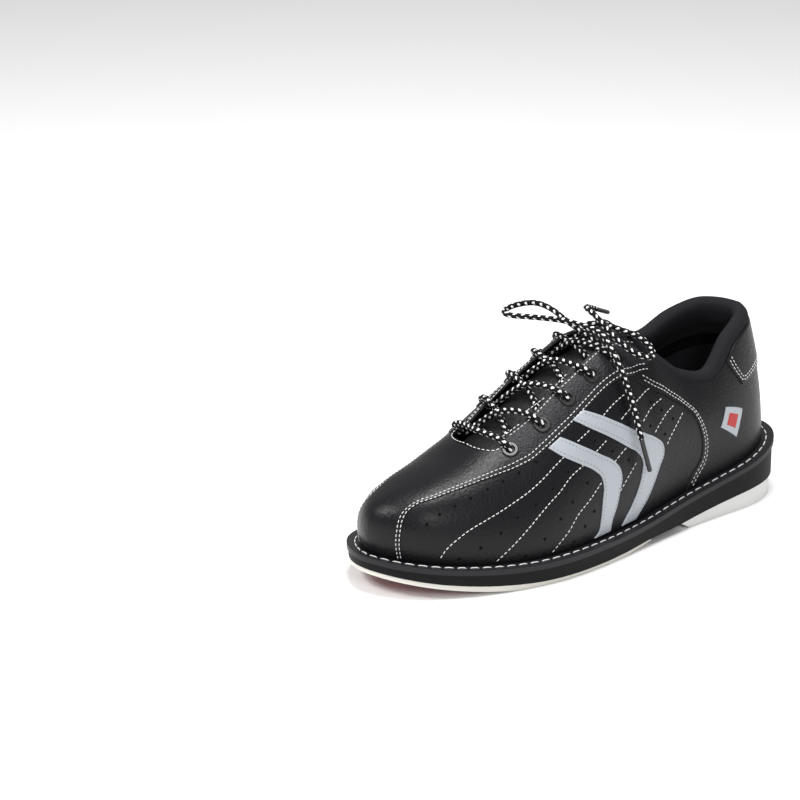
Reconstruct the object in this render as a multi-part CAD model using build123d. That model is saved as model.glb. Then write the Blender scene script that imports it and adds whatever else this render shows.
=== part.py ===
from build123d import *
import os
import numpy as np

# Bowling shoe, left foot, tied. Millimetres, +X to the toe, +Y to the lateral
# (outer) side, +Z up. Origin: middle of the outsole's rectangle, on the floor.

# ---- driving dimensions ------------------------------------------------------
LENGTH = 300.0            # welt, toe tip to heel
WIDTH_BALL = 112.0        # welt across the ball of the foot
LEATHER = 1.4             # upper leather
LINING_IN, LINING_OUT = -3.7, -2.6     # lining layer, below the outside of the leather
SEAM_GAP = 0.0016         # gap between panels along the outline (share of its length)
SEAM_GAP_V = 0.0065        # gap between panels up the wall
WELT_T = 3.0              # welt thickness
WELT_W = 13.0             # welt ring width
MIDSOLE_INSET = 1.0
OUTSOLE_INSET = 1.8
PAD_INSET = 6.2           # edge of the tread pads
PAD_T = 1.3
PAD_SPLIT = 91.8          # toe pad / tread boundary
TREAD_REAR = -17.0
OUTSOLE_REAR = -22.0
HEEL_INSET = 2.4
HEEL_FRONT_TOP, HEEL_FRONT_BOTTOM = -50.0, -58.0
FLAT_FROM, FLAT_TO = 12.0, 78.0        # part of the tread that stands on the floor
FOOTBED_T = 4.0
BOARD_T = 2.8
TONGUE_T = 4.5
COLLAR_T = 8.2             # padding of the collar
LACE_D = 3.3
AGLET_D = 2.7
AGLET_L = 20.5
EYELET_OD, EYELET_ID, EYELET_BARREL = 9.4, 5.8, 6.7
CHEVRON_T = 0.9
EYELETS = [(.304,.726),(.3815,.7234),(.4474,.745),(.5033,.767),(.549,.790)]   # lateral row (s, v)

# ---- last surface: shared shape of the upper -------------------------------
WELT = np.array([[150.0,-6.0],[148.9,1.6],[146.1,9.1],[142.1,16.2],[137.2,22.6],[131.4,28.3],[124.6,33.5],[116.6,38.1],[107.8,42.2],[98.2,46.0],[88.0,49.3],[77.5,52.0],[67.1,54.1],[57.0,55.4],[47.3,56.0],[37.8,55.9],[28.2,55.3],[18.4,54.4],[8.5,53.2],[-1.8,51.7],[-12.2,50.0],[-22.9,48.2],[-33.7,46.5],[-44.5,45.0],[-55.3,43.8],[-66.1,43.0],[-76.9,42.5],[-87.5,42.2],[-98.0,42.1],[-108.3,41.5],[-118.2,39.8],[-127.5,36.6],[-136.0,31.7],[-142.8,25.5],[-147.4,18.3],[-149.7,10.6],[-150.0,2.8],[-148.9,-4.8],[-146.2,-12.0],[-141.9,-18.6],[-135.8,-24.4],[-128.1,-29.3],[-119.4,-32.9],[-109.9,-35.1],[-99.8,-36.1],[-89.3,-36.1],[-78.7,-35.4],[-68.0,-34.5],[-57.2,-33.7],[-46.4,-33.5],[-35.5,-34.3],[-24.7,-36.0],[-14.0,-38.4],[-3.6,-41.4],[6.5,-44.7],[16.3,-48.0],[25.9,-51.0],[35.3,-53.4],[44.7,-54.9],[54.3,-55.8],[64.3,-55.9],[74.8,-55.3],[85.4,-54.1],[96.0,-52.2],[106.1,-49.8],[115.5,-46.7],[123.9,-42.9],[131.2,-38.3],[137.2,-33.1],[142.1,-27.1],[146.1,-20.5],[148.9,-13.5]])
HEEL_TIP = 36          # index of the rearmost outline point; index 0 is the toe tip
FEATHER_INSET = 8.0

def pchip(x, y, q):
    """monotone cubic interpolation of y (n or n x k) over x at q"""
    x = np.asarray(x, float); y = np.asarray(y, float); q = np.asarray(q, float)
    one = y.ndim == 1
    if one: y = y[:, None]
    h = np.diff(x)[:, None]; d = np.diff(y, axis=0) / h
    m = np.zeros_like(y)
    w1 = 2*h[1:] + h[:-1]; w2 = h[1:] + 2*h[:-1]
    ok = d[1:]*d[:-1] > 0
    dd = np.where(ok, d[:-1], 1.0); de = np.where(ok, d[1:], 1.0)
    m[1:-1] = np.where(ok, (w1+w2)/(w1/dd + w2/de), 0.0)
    m[0] = 0.0 if len(x) < 3 else _end(h[0], h[1], d[0], d[1])
    m[-1] = 0.0 if len(x) < 3 else _end(h[-1], h[-2], d[-1], d[-2])
    i = np.clip(np.searchsorted(x, q, side="right")-1, 0, len(x)-2)
    H = (x[i+1]-x[i])[..., None]; t = np.clip((q-x[i])[..., None]/H, 0, 1)
    r = ((1+2*t)*(1-t)**2*y[i] + t*(1-t)**2*H*m[i] + t*t*(3-2*t)*y[i+1] + t*t*(t-1)*H*m[i+1])
    return r[..., 0] if one else r

def _end(h0, h1, d0, d1):
    m = ((2*h0+h1)*d0 - h0*d1)/(h0+h1)
    m = np.where(np.sign(m) != np.sign(d0), 0.0, m)
    return np.where((np.sign(d0) != np.sign(d1)) & (np.abs(m) > 3*np.abs(d0)), 3*d0, m)

def catmull(x, y, q):
    """C1 cubic through y over x (centred slopes)"""
    x = np.asarray(x, float); y = np.asarray(y, float); q = np.asarray(q, float)
    one = y.ndim == 1
    if one: y = y[:, None]
    h = np.diff(x)[:, None]; d = np.diff(y, axis=0)/h
    m = np.empty_like(y); m[0] = d[0]; m[-1] = d[-1]
    m[1:-1] = (d[:-1]*h[1:] + d[1:]*h[:-1])/(h[1:]+h[:-1])
    i = np.clip(np.searchsorted(x, q, side="right")-1, 0, len(x)-2)
    H = (x[i+1]-x[i])[..., None]; t = (q-x[i])[..., None]/H
    r = ((1+2*t)*(1-t)**2*y[i] + t*(1-t)**2*H*m[i] + t*t*(3-2*t)*y[i+1] + t*t*(t-1)*H*m[i+1])
    return r[..., 0] if one else r

# cumulative length of the outline, toe tip -> lateral -> heel -> medial -> toe tip
_W3 = np.vstack([WELT[-3:], WELT, WELT[:4]])
_D3 = np.r_[0, np.cumsum(np.linalg.norm(np.diff(_W3, axis=0), axis=1))]; _D3 = _D3 - _D3[3]
_LH = _D3[3+HEEL_TIP]; _LA = _D3[3+len(WELT)]

def outline(s, inset=0.0):
    """plan point and outward normal; s 0 toe tip, +1 heel by the lateral side, -1 by the medial"""
    s = np.asarray(s, float)
    t = np.where(s >= 0, s*_LH, _LA + s*(_LA-_LH))
    p = catmull(_D3, _W3, t); e = 0.4
    d = catmull(_D3, _W3, t+e) - catmull(_D3, _W3, t-e)
    d = d/np.linalg.norm(d, axis=-1, keepdims=True)
    n = np.stack([d[..., 1], -d[..., 0]], -1)
    return p - inset*n, n

# heights along the shoe: welt top
ZTX = [-150,-130,-110,-85,-60,-40,-24,0,20,45,70,90,110,130,150]
ZTZ = [36.6,32.2,27.9,23.6,19.9,17.1,15.2,13.9,13.6,13.4,13.5,14.6,16.5,19.0,21.8]
def zwelt(x): return catmull(ZTX, ZTZ, x)

# section controls over |s|
SSEC = [0,.08,.17,.27,.38,.5,.6,.7,.8,.9,1.]
WALL = [32.5,30.3,27.8,28.6,33.2,38.2,39.7,38.6,37.1,35.5,33.8]      # wall handle length
FLARE = [16.9,14.1,9.6,7.2,7.0,7.0,5.6,3.3,.5,-1.2,-1.7]            # wall lean, degrees out
TOPH = [31.1,29.4,28.4,31.0,36.0,39.0,38.0,34.8,30.7,27.2,24.0]      # top handle length
STOP = [0,.08,.17,.25,.31,.37,.43,.49,.54,.585,.62,.66,.71,.78,.86,.93,1.0]
XTOP = [104,100,90,77,64,48,31,12,-7,-22,-34,-47,-60,-77,-100,-122,-136]
YLAT = [0,0,0,0,0,0,0,.8,5,12,19.5,25,28.8,30.9,27.1,18.2,0]
YMED = [0,0,0,0,0,0,0,.8,5,12,19.5,25,27.8,27.6,25.4,18.4,0]
ZLAT = [62,63.2,66.2,72.5,79.5,89,99,109,116.5,118.5,113.0,101.5,91.4,87.0,104.5,110.8,110.8]
ZMED = [62,63.2,66.2,72.5,79.5,89,99,109,116.5,118.5,115.0,107.5,102,98.0,107.3,112.6,110.8]
TILTS = [0,.42,.49,.54,.59,.64,.72,.85,1]
TILT = [0,0,0,6,36,55,70,75.5,75.5]
FANS = [0,.15,.27,1]; FAN = [0,62,90,90]
_UP = np.array([0,0,1.0]); _FW = np.array([1,0,-.30]); _FW = _FW/np.linalg.norm(_FW)

def top(s):
    """top edge of the last surface: ridge over the forefoot, then collar line"""
    m = np.abs(s)
    a = pchip(STOP, np.stack([XTOP, YLAT, ZLAT], 1), m)
    b = pchip(STOP, np.stack([XTOP, -np.array(YMED), ZMED], 1), m)
    return np.where((s >= 0)[..., None], a, b)

def surf(s, v):
    """last surface point; v 0 at the welt, 1 at the top edge"""
    s, v = np.broadcast_arrays(np.asarray(s, float), np.asarray(v, float))
    m = np.abs(s); sg = np.where(s >= 0, 1.0, -1.0)
    f2, n2 = outline(s, FEATHER_INSET)
    F = np.concatenate([f2, zwelt(f2[..., 0])[..., None]], -1)
    n = np.concatenate([n2, 0*n2[..., :1]], -1)
    T = top(s)
    be = np.radians(pchip(SSEC, FLARE, m))[..., None]
    ga = np.radians(pchip(TILTS, TILT, m))[..., None]
    ph = np.radians(pchip(FANS, FAN, m))[..., None]
    P1 = F + pchip(SSEC, WALL, m)[..., None]*(np.cos(be)*_UP + np.sin(be)*n)
    side = np.zeros(s.shape+(3,)); side[..., 1] = sg
    d = np.cos(ph)*_FW + np.sin(ph)*side
    w = np.clip((m-.45)/.25, 0, 1)[..., None]; w = w*w*(3-2*w)
    d = (1-w)*d + w*n; d = d/np.linalg.norm(d, axis=-1, keepdims=True)
    P2 = T + pchip(SSEC, TOPH, m)[..., None]*(np.cos(ga)*d - np.sin(ga)*_UP)
    v = v[..., None]
    return (1-v)**3*F + 3*(1-v)**2*v*P1 + 3*(1-v)*v*v*P2 + v**3*T

def skin(s, v, off=0.0):
    """point at a distance off outside (+) or inside (-) the last surface"""
    s, v = np.broadcast_arrays(np.asarray(s, float), np.asarray(v, float))
    p = surf(s, v)
    if np.all(np.asarray(off) == 0): return p
    return p + normal(s, v)*np.asarray(off)[..., None]

def normal(s, v):
    s, v = np.broadcast_arrays(np.asarray(s, float), np.asarray(v, float))
    e = 2e-3; vv = np.clip(v, 0, .985)
    ds = surf(np.clip(s+e, -1, 1), vv) - surf(np.clip(s-e, -1, 1), vv)
    dv = surf(s, np.clip(vv+e, 0, 1)) - surf(s, np.clip(vv-e, 0, 1))
    n = np.cross(ds, dv); n = n/(np.linalg.norm(n, axis=-1, keepdims=True)+1e-12)
    # orientation: outward on every side
    return n

_SG = np.linspace(-1, 1, 1601)
def plan_to_sv(X, Y):
    """(s, v) of a pattern point: v runs in a straight line from welt line to top edge"""
    X, Y = np.broadcast_arrays(np.asarray(X, float), np.asarray(Y, float))
    F, _ = outline(_SG, FEATHER_INSET); T = top(_SG)[:, :2]
    sh = X.shape; X = X.ravel(); Y = Y.ravel()
    so = np.empty(X.size); vo = np.empty(X.size)
    dT = T-F
    for k in range(X.size):
        rx = X[k]-F[:, 0]; ry = Y[k]-F[:, 1]
        g = dT[:, 0]*ry - dT[:, 1]*rx
        vv = (rx*dT[:, 0]+ry*dT[:, 1])/(dT**2).sum(1)
        z = np.where((np.sign(g[:-1]) != np.sign(g[1:])) & (vv[:-1] > -.3) & (vv[:-1] < 1.05))[0]
        if len(z) == 0:
            j = int(np.argmin(np.abs(g)/np.linalg.norm(dT, axis=1) + 5*np.clip(vv-1, 0, 9))); so[k] = _SG[j]; vo[k] = np.clip(vv[j], 0, 1); continue
        j = z[np.argmin(np.abs(vv[z]-.5))]
        t = g[j]/(g[j]-g[j+1]); so[k] = _SG[j]+t*(_SG[j+1]-_SG[j]); vo[k] = vv[j]+t*(vv[j+1]-vv[j])
    return so.reshape(sh), np.clip(vo.reshape(sh), 0, 1)

def sv_to_plan(s, v):
    s = np.asarray(s, float); v = np.asarray(v, float)[..., None]
    return (1-v)*outline(s, FEATHER_INSET)[0] + v*top(s)[..., :2]
# ---- end of last surface ----------------------------------------------------

# ---- seams, as (s, v) on the last surface -----------------------------------
VAMP_FRONT = [(.0640,.000),(.0604,.120),(.0585,.255),(.0565,.358),(.0575,.450),(.0645,.530)]
VAMP_TOP = [(.0645,.530),(.0790,.594),(.0995,.622),(.121,.648),(.145,.665),(.170,.672),(.194,.671),(.217,.665),(.241,.657),(.265,.648),(.289,.638),(.312,.632),(.334,.626),(.359,.634),(.384,.643),(.410,.652),(.435,.660),(.461,.673),(.486,.688),(.507,.704),(.527,.722),(.546,.738),(.571,.768),(.590,.800),(.608,.839),(.625,.895)]
QUARTER = [(.5715,.757),(.590,.7415),(.606,.738),(.639,.757),(.680,.778),(.701,.765),(.7157,.729),(.7275,.610),(.7321,.442),(.7330,.315),(.7313,.216),(.7262,.141),(.7193,.101),(.7078,.062),(.690,.000)]
THROAT = [(.2350,1.0),(.2362,.941),(.2493,.867),(.2697,.799),(.289,.775)]
THROAT_EDGE = [(.289,.775),(.297,.815),(.3196,.8295),(.3505,.8216),(.3886,.8234),(.4234,.8328),(.4534,.8389),(.481,.846),(.512,.870),(.539,.905),(.565,.935),(.590,.965),(.606,.985)]
COLLAR_SEAM = [(.6253,.8997),(.6397,.933),(.6622,.948),(.7034,.960),(.74,.962),(.7774,.958),(.8052,.930),(.8232,.900),(.8413,.885)]
TAB_EDGE = [(.838,.800),(.848,.700),(.857,.604),(.880,.584),(.915,.584),(.96,.612),(1.0,.630)]
CH1_OUT = [(.4009,.6031),(.4322,.5045),(.4674,.4097),(.4966,.338),(.5062,.301),(.5093,.253),(.5037,.2038),(.4961,.1403),(.4850,.0769),(.4816,.0216)]
CH1_IN = [(.3708,.5938),(.3878,.5222),(.4219,.4222),(.4501,.3503),(.4633,.3014),(.4657,.2562),(.4613,.1985),(.456,.104),(.452,.0468),(.4416,.0193)]
CH2_OUT = [(.4619,.6424),(.4875,.5708),(.5185,.4904),(.5458,.4376),(.5691,.424),(.5942,.4026),(.6135,.3633),(.6163,.309),(.6069,.2451),(.5958,.1726),(.5798,.1001),(.5598,.0444),(.550,.0192)]
CH2_IN = [(.4354,.6363),(.4615,.5459),(.4948,.4541),(.5313,.3663),(.5466,.3381),(.5611,.2865),(.5591,.2262),(.5501,.1618),(.5363,.1023),(.5223,.0561),(.5123,.0193)]
EMBLEM = ((.772,.40),(.803,.60),(.834,.40),(.803,.20))    # plain diamond: front, top, rear, bottom

# ---- lace route, corner points (mm) -----------------------------------------
# Each half starts at the middle of the lowest bar, goes down through an eyelet,
# under the edge, over the tongue to the other row, and so on up to the bow.
LACE_A = [(71.9,0,78.5),(69.1,14.7,78),(67.6,24.8,74.1),(64.1,20.4,67.5),(58.9,13,74.4),(52.2,0,81.5),(49.5,-16.2,88.7),(45.5,-27.1,84.3),(42.4,-21.9,78.2),(37.4,-13.9,86.9),(34.5,0,98.5),(30.6,17.2,99.2),(26.2,26.6,95.2),(23.1,21.2,89.3),(17.7,14.5,97.2),(12.7,0,104),(12.1,-17.9,108),(6.8,-25,104.7),(4.3,-19,99.1),(-2.5,-15.8,105.9),(-3.2,0,116.7),(-5.9,20.6,114.4),(-11.2,28,109.4),(-11.6,21.9,103.4),(-13.5,14,110),(-11,6.5,116),(-8.5,-2,119.6),(-6,-10.5,123.5),(-3.5,-20,129),(2,-28,132.5),(12,-34,131.5),(21.5,-34.5,129.5),(24.5,-28,129),(18.5,-20.5,128.8),(10,-13,128),(2.5,-5.5,127),(-3,3.5,125.5),(-6,13,124),(-5.5,22,122),(-3.9,31.1,114),(-6.3,35.1,105.3),(-8.1,38.1,96.3),(-9.1,41.4,87.4),(-10.1,43.9,79),(-11,45.6,71.4),(-12,46.4,66.7)]
LACE_B = [(71.9,0,78.5),(68.9,-14.9,78),(67.2,-25.2,74.1),(63.8,-20.8,67.5),(58.9,-13.2,74.8),(55.1,0,86.2),(49.7,16.3,88.7),(45.9,27.3,84.3),(42.7,22.3,78.2),(37.4,14,86.6),(31.7,0,93.7),(30.5,-16.9,99.1),(26,-25.8,95.2),(23.1,-20.1,89.4),(17.8,-14.1,97.5),(15.1,0,108.9),(12.3,18.4,108),(7.2,26.1,104.8),(4.5,20.5,98.9),(-2.3,16.5,105.5),(-5,0,111.5),(-6.3,-20.1,114.3),(-11.6,-26.9,109.2),(-12.1,-20.3,103.8),(-15,-13.5,110.5),(-14,-6,117),(-12,1.5,124.3),(-18.5,8.5,123.8),(-24.5,16,120.8),(-31.5,22,117.5),(-36,28,111.5),(-31.5,34.5,107.8),(-24,33.5,109.5),(-17.5,27,114.2),(-13.5,18.5,121.3),(-12,9.5,128.4),(-12.5,0,131.8),(-17.5,-7.5,130.6),(-25.5,-12.5,127.4),(-33.5,-16,124)]

os.makedirs("parts", exist_ok=True)
OUT = {}

def vec(p): return tuple(float(c) for c in p)

def resample(pts, n, ks=360.0, kv=85.0):
    """n points evenly spaced along a smooth line through (s, v) points"""
    P = np.array(pts, float)
    d = np.r_[0, np.cumsum(np.hypot(np.diff(P[:, 0])*ks, np.diff(P[:, 1])*kv))]
    if len(P) == 2: t = np.linspace(0, d[-1], n); return np.stack([np.interp(t, d, P[:, 0]), np.interp(t, d, P[:, 1])], 1)
    dd = np.linspace(0, d[-1], 400); C = catmull(d, P, dd)
    e = np.r_[0, np.cumsum(np.hypot(np.diff(C[:, 0])*ks, np.diff(C[:, 1])*kv))]
    t = np.linspace(0, e[-1], n)
    return np.stack([np.interp(t, e, C[:, 0]), np.interp(t, e, C[:, 1])], 1)

def shift(pts, ds, dv): return [(a+ds, b+dv) for a, b in pts]

def coons(bottom, top_, left, right):
    """grid filled between four edges; bottom and top_ run left to right, left and right run upwards"""
    m, n = len(left), len(bottom)
    u = np.linspace(0, 1, n)[None, :, None]; w = np.linspace(0, 1, m)[:, None, None]
    return ((1-w)*bottom[None] + w*top_[None] + (1-u)*left[:, None] + u*right[:, None]
            - (1-u)*(1-w)*bottom[0] - u*(1-w)*bottom[-1] - (1-u)*w*top_[0] - u*w*top_[-1])

def bern(n, t):
    from math import comb
    t = np.asarray(t)[:, None]; k = np.arange(n+1)[None, :]
    return np.array([comb(n, j) for j in range(n+1)])[None, :]*t**k*(1-t)**(n-k)

FIT = [0.0]
def bezier_net(g, du, dv):
    """control net of one smooth patch through a grid of points"""
    m, n = g.shape[:2]
    du, dv = min(du, m-1), min(dv, n-1)
    U, V = bern(du, np.linspace(0, 1, m)), bern(dv, np.linspace(0, 1, n))
    wu = np.ones(m); wu[[0, -1]] = 12; wv = np.ones(n); wv[[0, -1]] = 12
    PU = np.linalg.pinv(U*wu[:, None])*wu[None, :]; PV = np.linalg.pinv(V*wv[:, None])*wv[None, :]
    net = np.einsum('am,mnc,bn->abc', PU, g, PV)
    FIT[0] = max(FIT[0], float(np.abs(np.einsum('ma,abc,nb->mnc', U, net, V)-g).max()))
    return net

def plate(outer, inner, du=12, dv=12):
    """closed solid between two point grids"""
    outer, inner = np.asarray(outer, float), np.asarray(inner, float)
    for drop in (0, 3, 6):
        FIT[0] = 0.0
        fo, fi = [Face.make_bezier_surface([[vec(p) for p in r] for r in bezier_net(g, du-drop, dv-drop)]) for g in (outer, inner)]
        sides = [Face.make_surface_from_curves(a, b) for a, b in zip(fo.edges(), fi.edges())]
        solid = Solid(Shell([fo, fi] + sides))
        if solid.is_valid: break
    return solid

def wall(g, off_out, off_in, mirror=False, du=12, dv=12):
    """solid wall over a grid of (s, v) between two distances from the last surface"""
    s, v = g[..., 0], np.clip(g[..., 1], 0, 1)
    if mirror: s = -s
    return plate(skin(s, v, off_out), skin(s, v, off_in), du, dv)

def put(name, shape):
    OUT[name] = shape
    print("%-24s fit %.2f valid %s" % (name, FIT[0], getattr(shape, 'is_valid', None))); FIT[0] = 0.0

# ---- sole unit ---------------------------------------------------------------
def prism(inset, z0=-5.0, z1=60.0, n=96):
    s = np.linspace(-1, 1, n+1)[:-1]
    p, _ = outline(s, inset)
    e = Edge.make_spline([vec((a, b, z0)) for a, b in p], periodic=True)
    return extrude(Face(Wire([e])), amount=z1-z0, dir=(0, 0, 1))

def slab(low, high, x0, x1, n=61):
    """body between two height lines, each a list of edges or a function of x"""
    def line(h):
        if callable(h):
            xs = np.linspace(x0, x1, n)
            return [Edge.make_spline([vec((x, -80, h(x))) for x in xs])]
        return h
    lo, hi = line(low), line(high)
    a0, a1 = lo[0] @ 0, lo[-1] @ 1
    b0, b1 = hi[0] @ 0, hi[-1] @ 1
    w = Wire(lo + [Edge.make_line(a1, b1)] + hi + [Edge.make_line(b0, a0)])
    return extrude(Face(w), amount=160, dir=(0, 1, 0))

SOLEX = [-40,-30,-22,-10,2,12,78,90,100,110,130,150,160]
SOLEZ = [4.6,3.6,2.9,1.5,.35,0,0,.9,2.1,3.7,7.4,11.8,14.2]
def zsole(x): return float(pchip(SOLEX, SOLEZ, x))
MIDX = [-160,-150,-130,-110,-85,-60,-52,-40,-22,0,20,45,70,90,110,130,150,160]
MIDZ = [12.4,12.3,12.0,11.3,9.0,6.2,5.3,4.7,4.3,3.0,2.4,2.4,2.9,4.5,7.0,10.4,14.6,16.8]
def zmid(x): return float(catmull(MIDX, MIDZ, x))
def zw(x, dz=0.0): return float(catmull([-170]+ZTX+[170], [41.2]+ZTZ+[25.0], x)) + dz

def sole_line(dz, x0, x1):
    """floor profile raised by dz, with its true flat"""
    E = []
    def sp(a, b, n, t0=None, t1=None):
        xs = np.linspace(a, b, n)
        kw = {}
        if t0 is not None or t1 is not None:
            kw = dict(tangents=[t0, t1])
        return Edge.make_spline([vec((x, -80, zsole(x)+dz)) for x in xs])
    if x0 < FLAT_FROM: E.append(sp(x0, min(FLAT_FROM, x1), 9))
    if x0 < FLAT_TO and x1 > FLAT_FROM:
        E.append(Edge.make_line((max(x0, FLAT_FROM), -80, dz), (min(x1, FLAT_TO), -80, dz)))
    if x1 > FLAT_TO: E.append(sp(max(FLAT_TO, x0), x1, 17))
    return E

welt_body = prism(0.0) & slab(lambda x: zw(x, -WELT_T), lambda x: zw(x), -155, 155)
put("welt", welt_body - prism(WELT_W))
mid = prism(MIDSOLE_INSET) & slab(lambda x: zmid(x), lambda x: zw(x, -WELT_T), -155, 155)
for yy in (15.5, -13.5):                      # two oval pockets under the arch
    mid = mid - (Pos(-37, yy, 4.0) * Rot(0, 0, 8) * extrude(SlotOverall(15, 6), amount=2.6, both=True))
put("midsole", mid)

rim = prism(OUTSOLE_INSET) & slab(sole_line(0.06, OUTSOLE_REAR, 155), lambda x: zmid(x)-0.25, OUTSOLE_REAR, 155)
pocket = prism(PAD_INSET-0.3) & slab(sole_line(-3.0, TREAD_REAR-0.3, 154), sole_line(PAD_T+0.05, TREAD_REAR-0.3, 154), TREAD_REAR-0.3, 154)
put("outsole_layer", rim - pocket)
put("toe_pad", prism(PAD_INSET) & slab(sole_line(0.0, PAD_SPLIT, 154), sole_line(PAD_T, PAD_SPLIT, 154), PAD_SPLIT, 154))
put("forefoot_outsole", prism(PAD_INSET) & slab(sole_line(0.0, TREAD_REAR, PAD_SPLIT-0.3), sole_line(PAD_T, TREAD_REAR, PAD_SPLIT-0.3), TREAD_REAR, PAD_SPLIT-0.3))

# wedge heel: flat floor face, small lift at the very back, raked front face
hx = np.linspace(HEEL_FRONT_TOP, -155, 25)
heel_top = Edge.make_spline([vec((x, -80, zmid(x)-0.25)) for x in hx])
hw = Wire([Edge.make_line((HEEL_FRONT_BOTTOM, -80, 0), (HEEL_FRONT_TOP, -80, zmid(HEEL_FRONT_TOP)-0.25)), heel_top,
           Edge.make_line(heel_top @ 1, (-155, -80, 2.0)), Edge.make_line((-155, -80, 2.0), (-140, -80, 0)),
           Edge.make_line((-140, -80, 0), (HEEL_FRONT_BOTTOM, -80, 0))])
put("heel_block", prism(HEEL_INSET) & extrude(Face(hw), amount=160, dir=(0, 1, 0)))

put("insole_board", prism(WELT_W+0.5) & slab(lambda x: zw(x, -WELT_T+0.02), lambda x: zw(x, -WELT_T+BOARD_T), -155, 155))
put("footbed", prism(14.2) & slab(lambda x: zw(x, 0.3), lambda x: zw(x, 0.3+FOOTBED_T), -155, 155))

# ---- upper panels --------------------------------------------------------------
V0 = 0.0045
LIP = [(.6253,.905),(.6397,.936),(.6622,.950),(.7034,.962),(.74,.964),(.7774,.960),(.8052,.934),(.8232,.906),(.8413,.903),(.862,.926),(.88,.938),(1.0,.953)]
def side_panel(mirror):
    left = resample(shift(VAMP_FRONT, SEAM_GAP, 0), 40); left[0, 1] = V0
    tp = [tuple(left[-1])] + shift(VAMP_TOP[1:22], SEAM_GAP*.6, -SEAM_GAP_V) + [(.566,.750)] + shift(QUARTER[1:5], -SEAM_GAP*.5, -SEAM_GAP_V*1.6) + [(.697,.757)]
    top_ = resample(tp, 90)
    right = resample([(.690-SEAM_GAP, V0)] + shift(QUARTER[6:-1][::-1], -SEAM_GAP*1.5, 0) + [tuple(top_[-1])], 40)
    bottom = resample([tuple(left[0]), tuple(right[0])], 90)
    left[-1] = top_[0]; right[0] = bottom[-1]; left[0] = bottom[0]
    return wall(coons(bottom, top_, left, right), 0.0, -LEATHER, mirror, 12, 18)

def quarter(mirror):
    left = resample([(.690+SEAM_GAP, V0)] + shift(QUARTER[1:-1][::-1], SEAM_GAP*1.5, SEAM_GAP_V*1.6) + [(.5785,.775)], 70)
    tp = [tuple(left[-1]), (.592,.796), (.612,.836)] + [(.6285,.893)] + [(q, v-.017) for q, v in LIP[1:]]
    top_ = resample(tp, 70); top_[-1, 0] = .9975
    bottom = resample([tuple(left[0]), (.9975, V0)], 70)
    right = resample([tuple(bottom[-1]), tuple(top_[-1])], 70)
    return wall(coons(bottom, top_, left, right), 0.0, -LEATHER, mirror, 15, 15)

def eyestay(mirror):
    # front edge beside the vamp, lower edge on the vamp seam, upper edge along the throat
    bottom = resample([(.3055,.6395)] + shift(VAMP_TOP[12:25], -SEAM_GAP*.5, SEAM_GAP_V) + [(.6215,.905)], 46)
    top_ = resample([(.2945,.800)] + THROAT_EDGE[2:], 46)
    left = resample([tuple(bottom[0]), (.299,.72), tuple(top_[0])], 12)
    right = resample([tuple(bottom[-1]), tuple(top_[-1])], 12)
    w = wall(coons(bottom, top_, left, right), 0.0, -LEATHER, mirror, 6, 13)
    for (s, v) in EYELETS:
        w = w - hole(s, v, mirror)
    return w

def at(s, v, mirror):
    s = -s if mirror else s
    p = skin(np.array(s), np.array(v), 0.0); n = normal(np.array(s), np.array(v))
    return Plane(origin=vec(p), z_dir=vec(n))

def hole(s, v, mirror): return at(s, v, mirror) * Cylinder(EYELET_BARREL/2+0.1, 8)

def eyelet(s, v, mirror):
    pl = at(s, v, mirror)
    ring = Pos(0, 0, 0.42) * Cylinder(EYELET_OD/2, 0.85, align=(Align.CENTER, Align.CENTER, Align.MIN))
    ring = fillet(ring.edges().filter_by(GeomType.CIRCLE).sort_by(Axis.Z)[-1:], 0.6)
    barrel = Pos(0, 0, -2.1) * Cylinder(EYELET_BARREL/2, 2.9, align=(Align.CENTER, Align.CENTER, Align.MIN))
    return pl * ((ring + barrel) - Cylinder(EYELET_ID/2, 12))

for nm, mi in (("lateral", False), ("medial", True)):
    put("side_panel_"+nm, side_panel(mi))
    put("quarter_"+nm, quarter(mi))
    put("eyestay_"+nm, eyestay(mi))
put("eyelets", Compound(children=[eyelet(s, v, mi) for mi in (False, True) for s, v in EYELETS]))

# vamp: crosses the ridge, so it is laid out flat in plan and lifted onto the surface
def lift(grid, off_out, off_in, du=12, dv=12):
    s, v = plan_to_sv(grid[..., 0], grid[..., 1])
    v = np.maximum(v, V0)
    return plate(skin(s, v, off_out), skin(s, v, off_in), du, dv)

def plan_line(pts, n):
    a = np.array([sv_to_plan(p[0], p[1]) for p in pts])
    d = np.r_[0, np.cumsum(np.linalg.norm(np.diff(a, axis=0), axis=1))]
    dd = np.linspace(0, d[-1], 300); c = catmull(d, a, dd)
    e = np.r_[0, np.cumsum(np.linalg.norm(np.diff(c, axis=0), axis=1))]; t = np.linspace(0, e[-1], n)
    return np.stack([np.interp(t, e, c[:, 0]), np.interp(t, e, c[:, 1])], 1)

seam = [(.0640-SEAM_GAP, V0)] + shift(VAMP_FRONT[1:], -SEAM_GAP, 0) + shift(VAMP_TOP[1:11], -SEAM_GAP*.6, SEAM_GAP_V) + [(.2975,.655)]
lat = plan_line(resample(seam, 90), 60)
med = plan_line([(-s, v) for s, v in resample(seam, 90)], 60)
front = plan_line([(s, V0) for s in np.linspace(seam[0][0], -seam[0][0], 15)], 41)
rear_half = resample([(.2975,.655),(.291,.705),(.2855,.765),(.2697,.796),(.2493,.864),(.2362,.935),(.2345,.9995)], 30)
rear_pts = [sv_to_plan(s, v) for s, v in rear_half] + [sv_to_plan(-s, v)*np.array([1, 1]) for s, v in rear_half[::-1][1:]]
rp = np.array(rear_pts); d = np.r_[0, np.cumsum(np.linalg.norm(np.diff(rp, axis=0), axis=1))]
rear = np.stack([np.interp(np.linspace(0, d[-1], 41), d, rp[:, 0]), np.interp(np.linspace(0, d[-1], 41), d, rp[:, 1])], 1)
lat[0], lat[-1], med[0], med[-1] = front[0], rear[0], front[-1], rear[-1]
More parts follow.
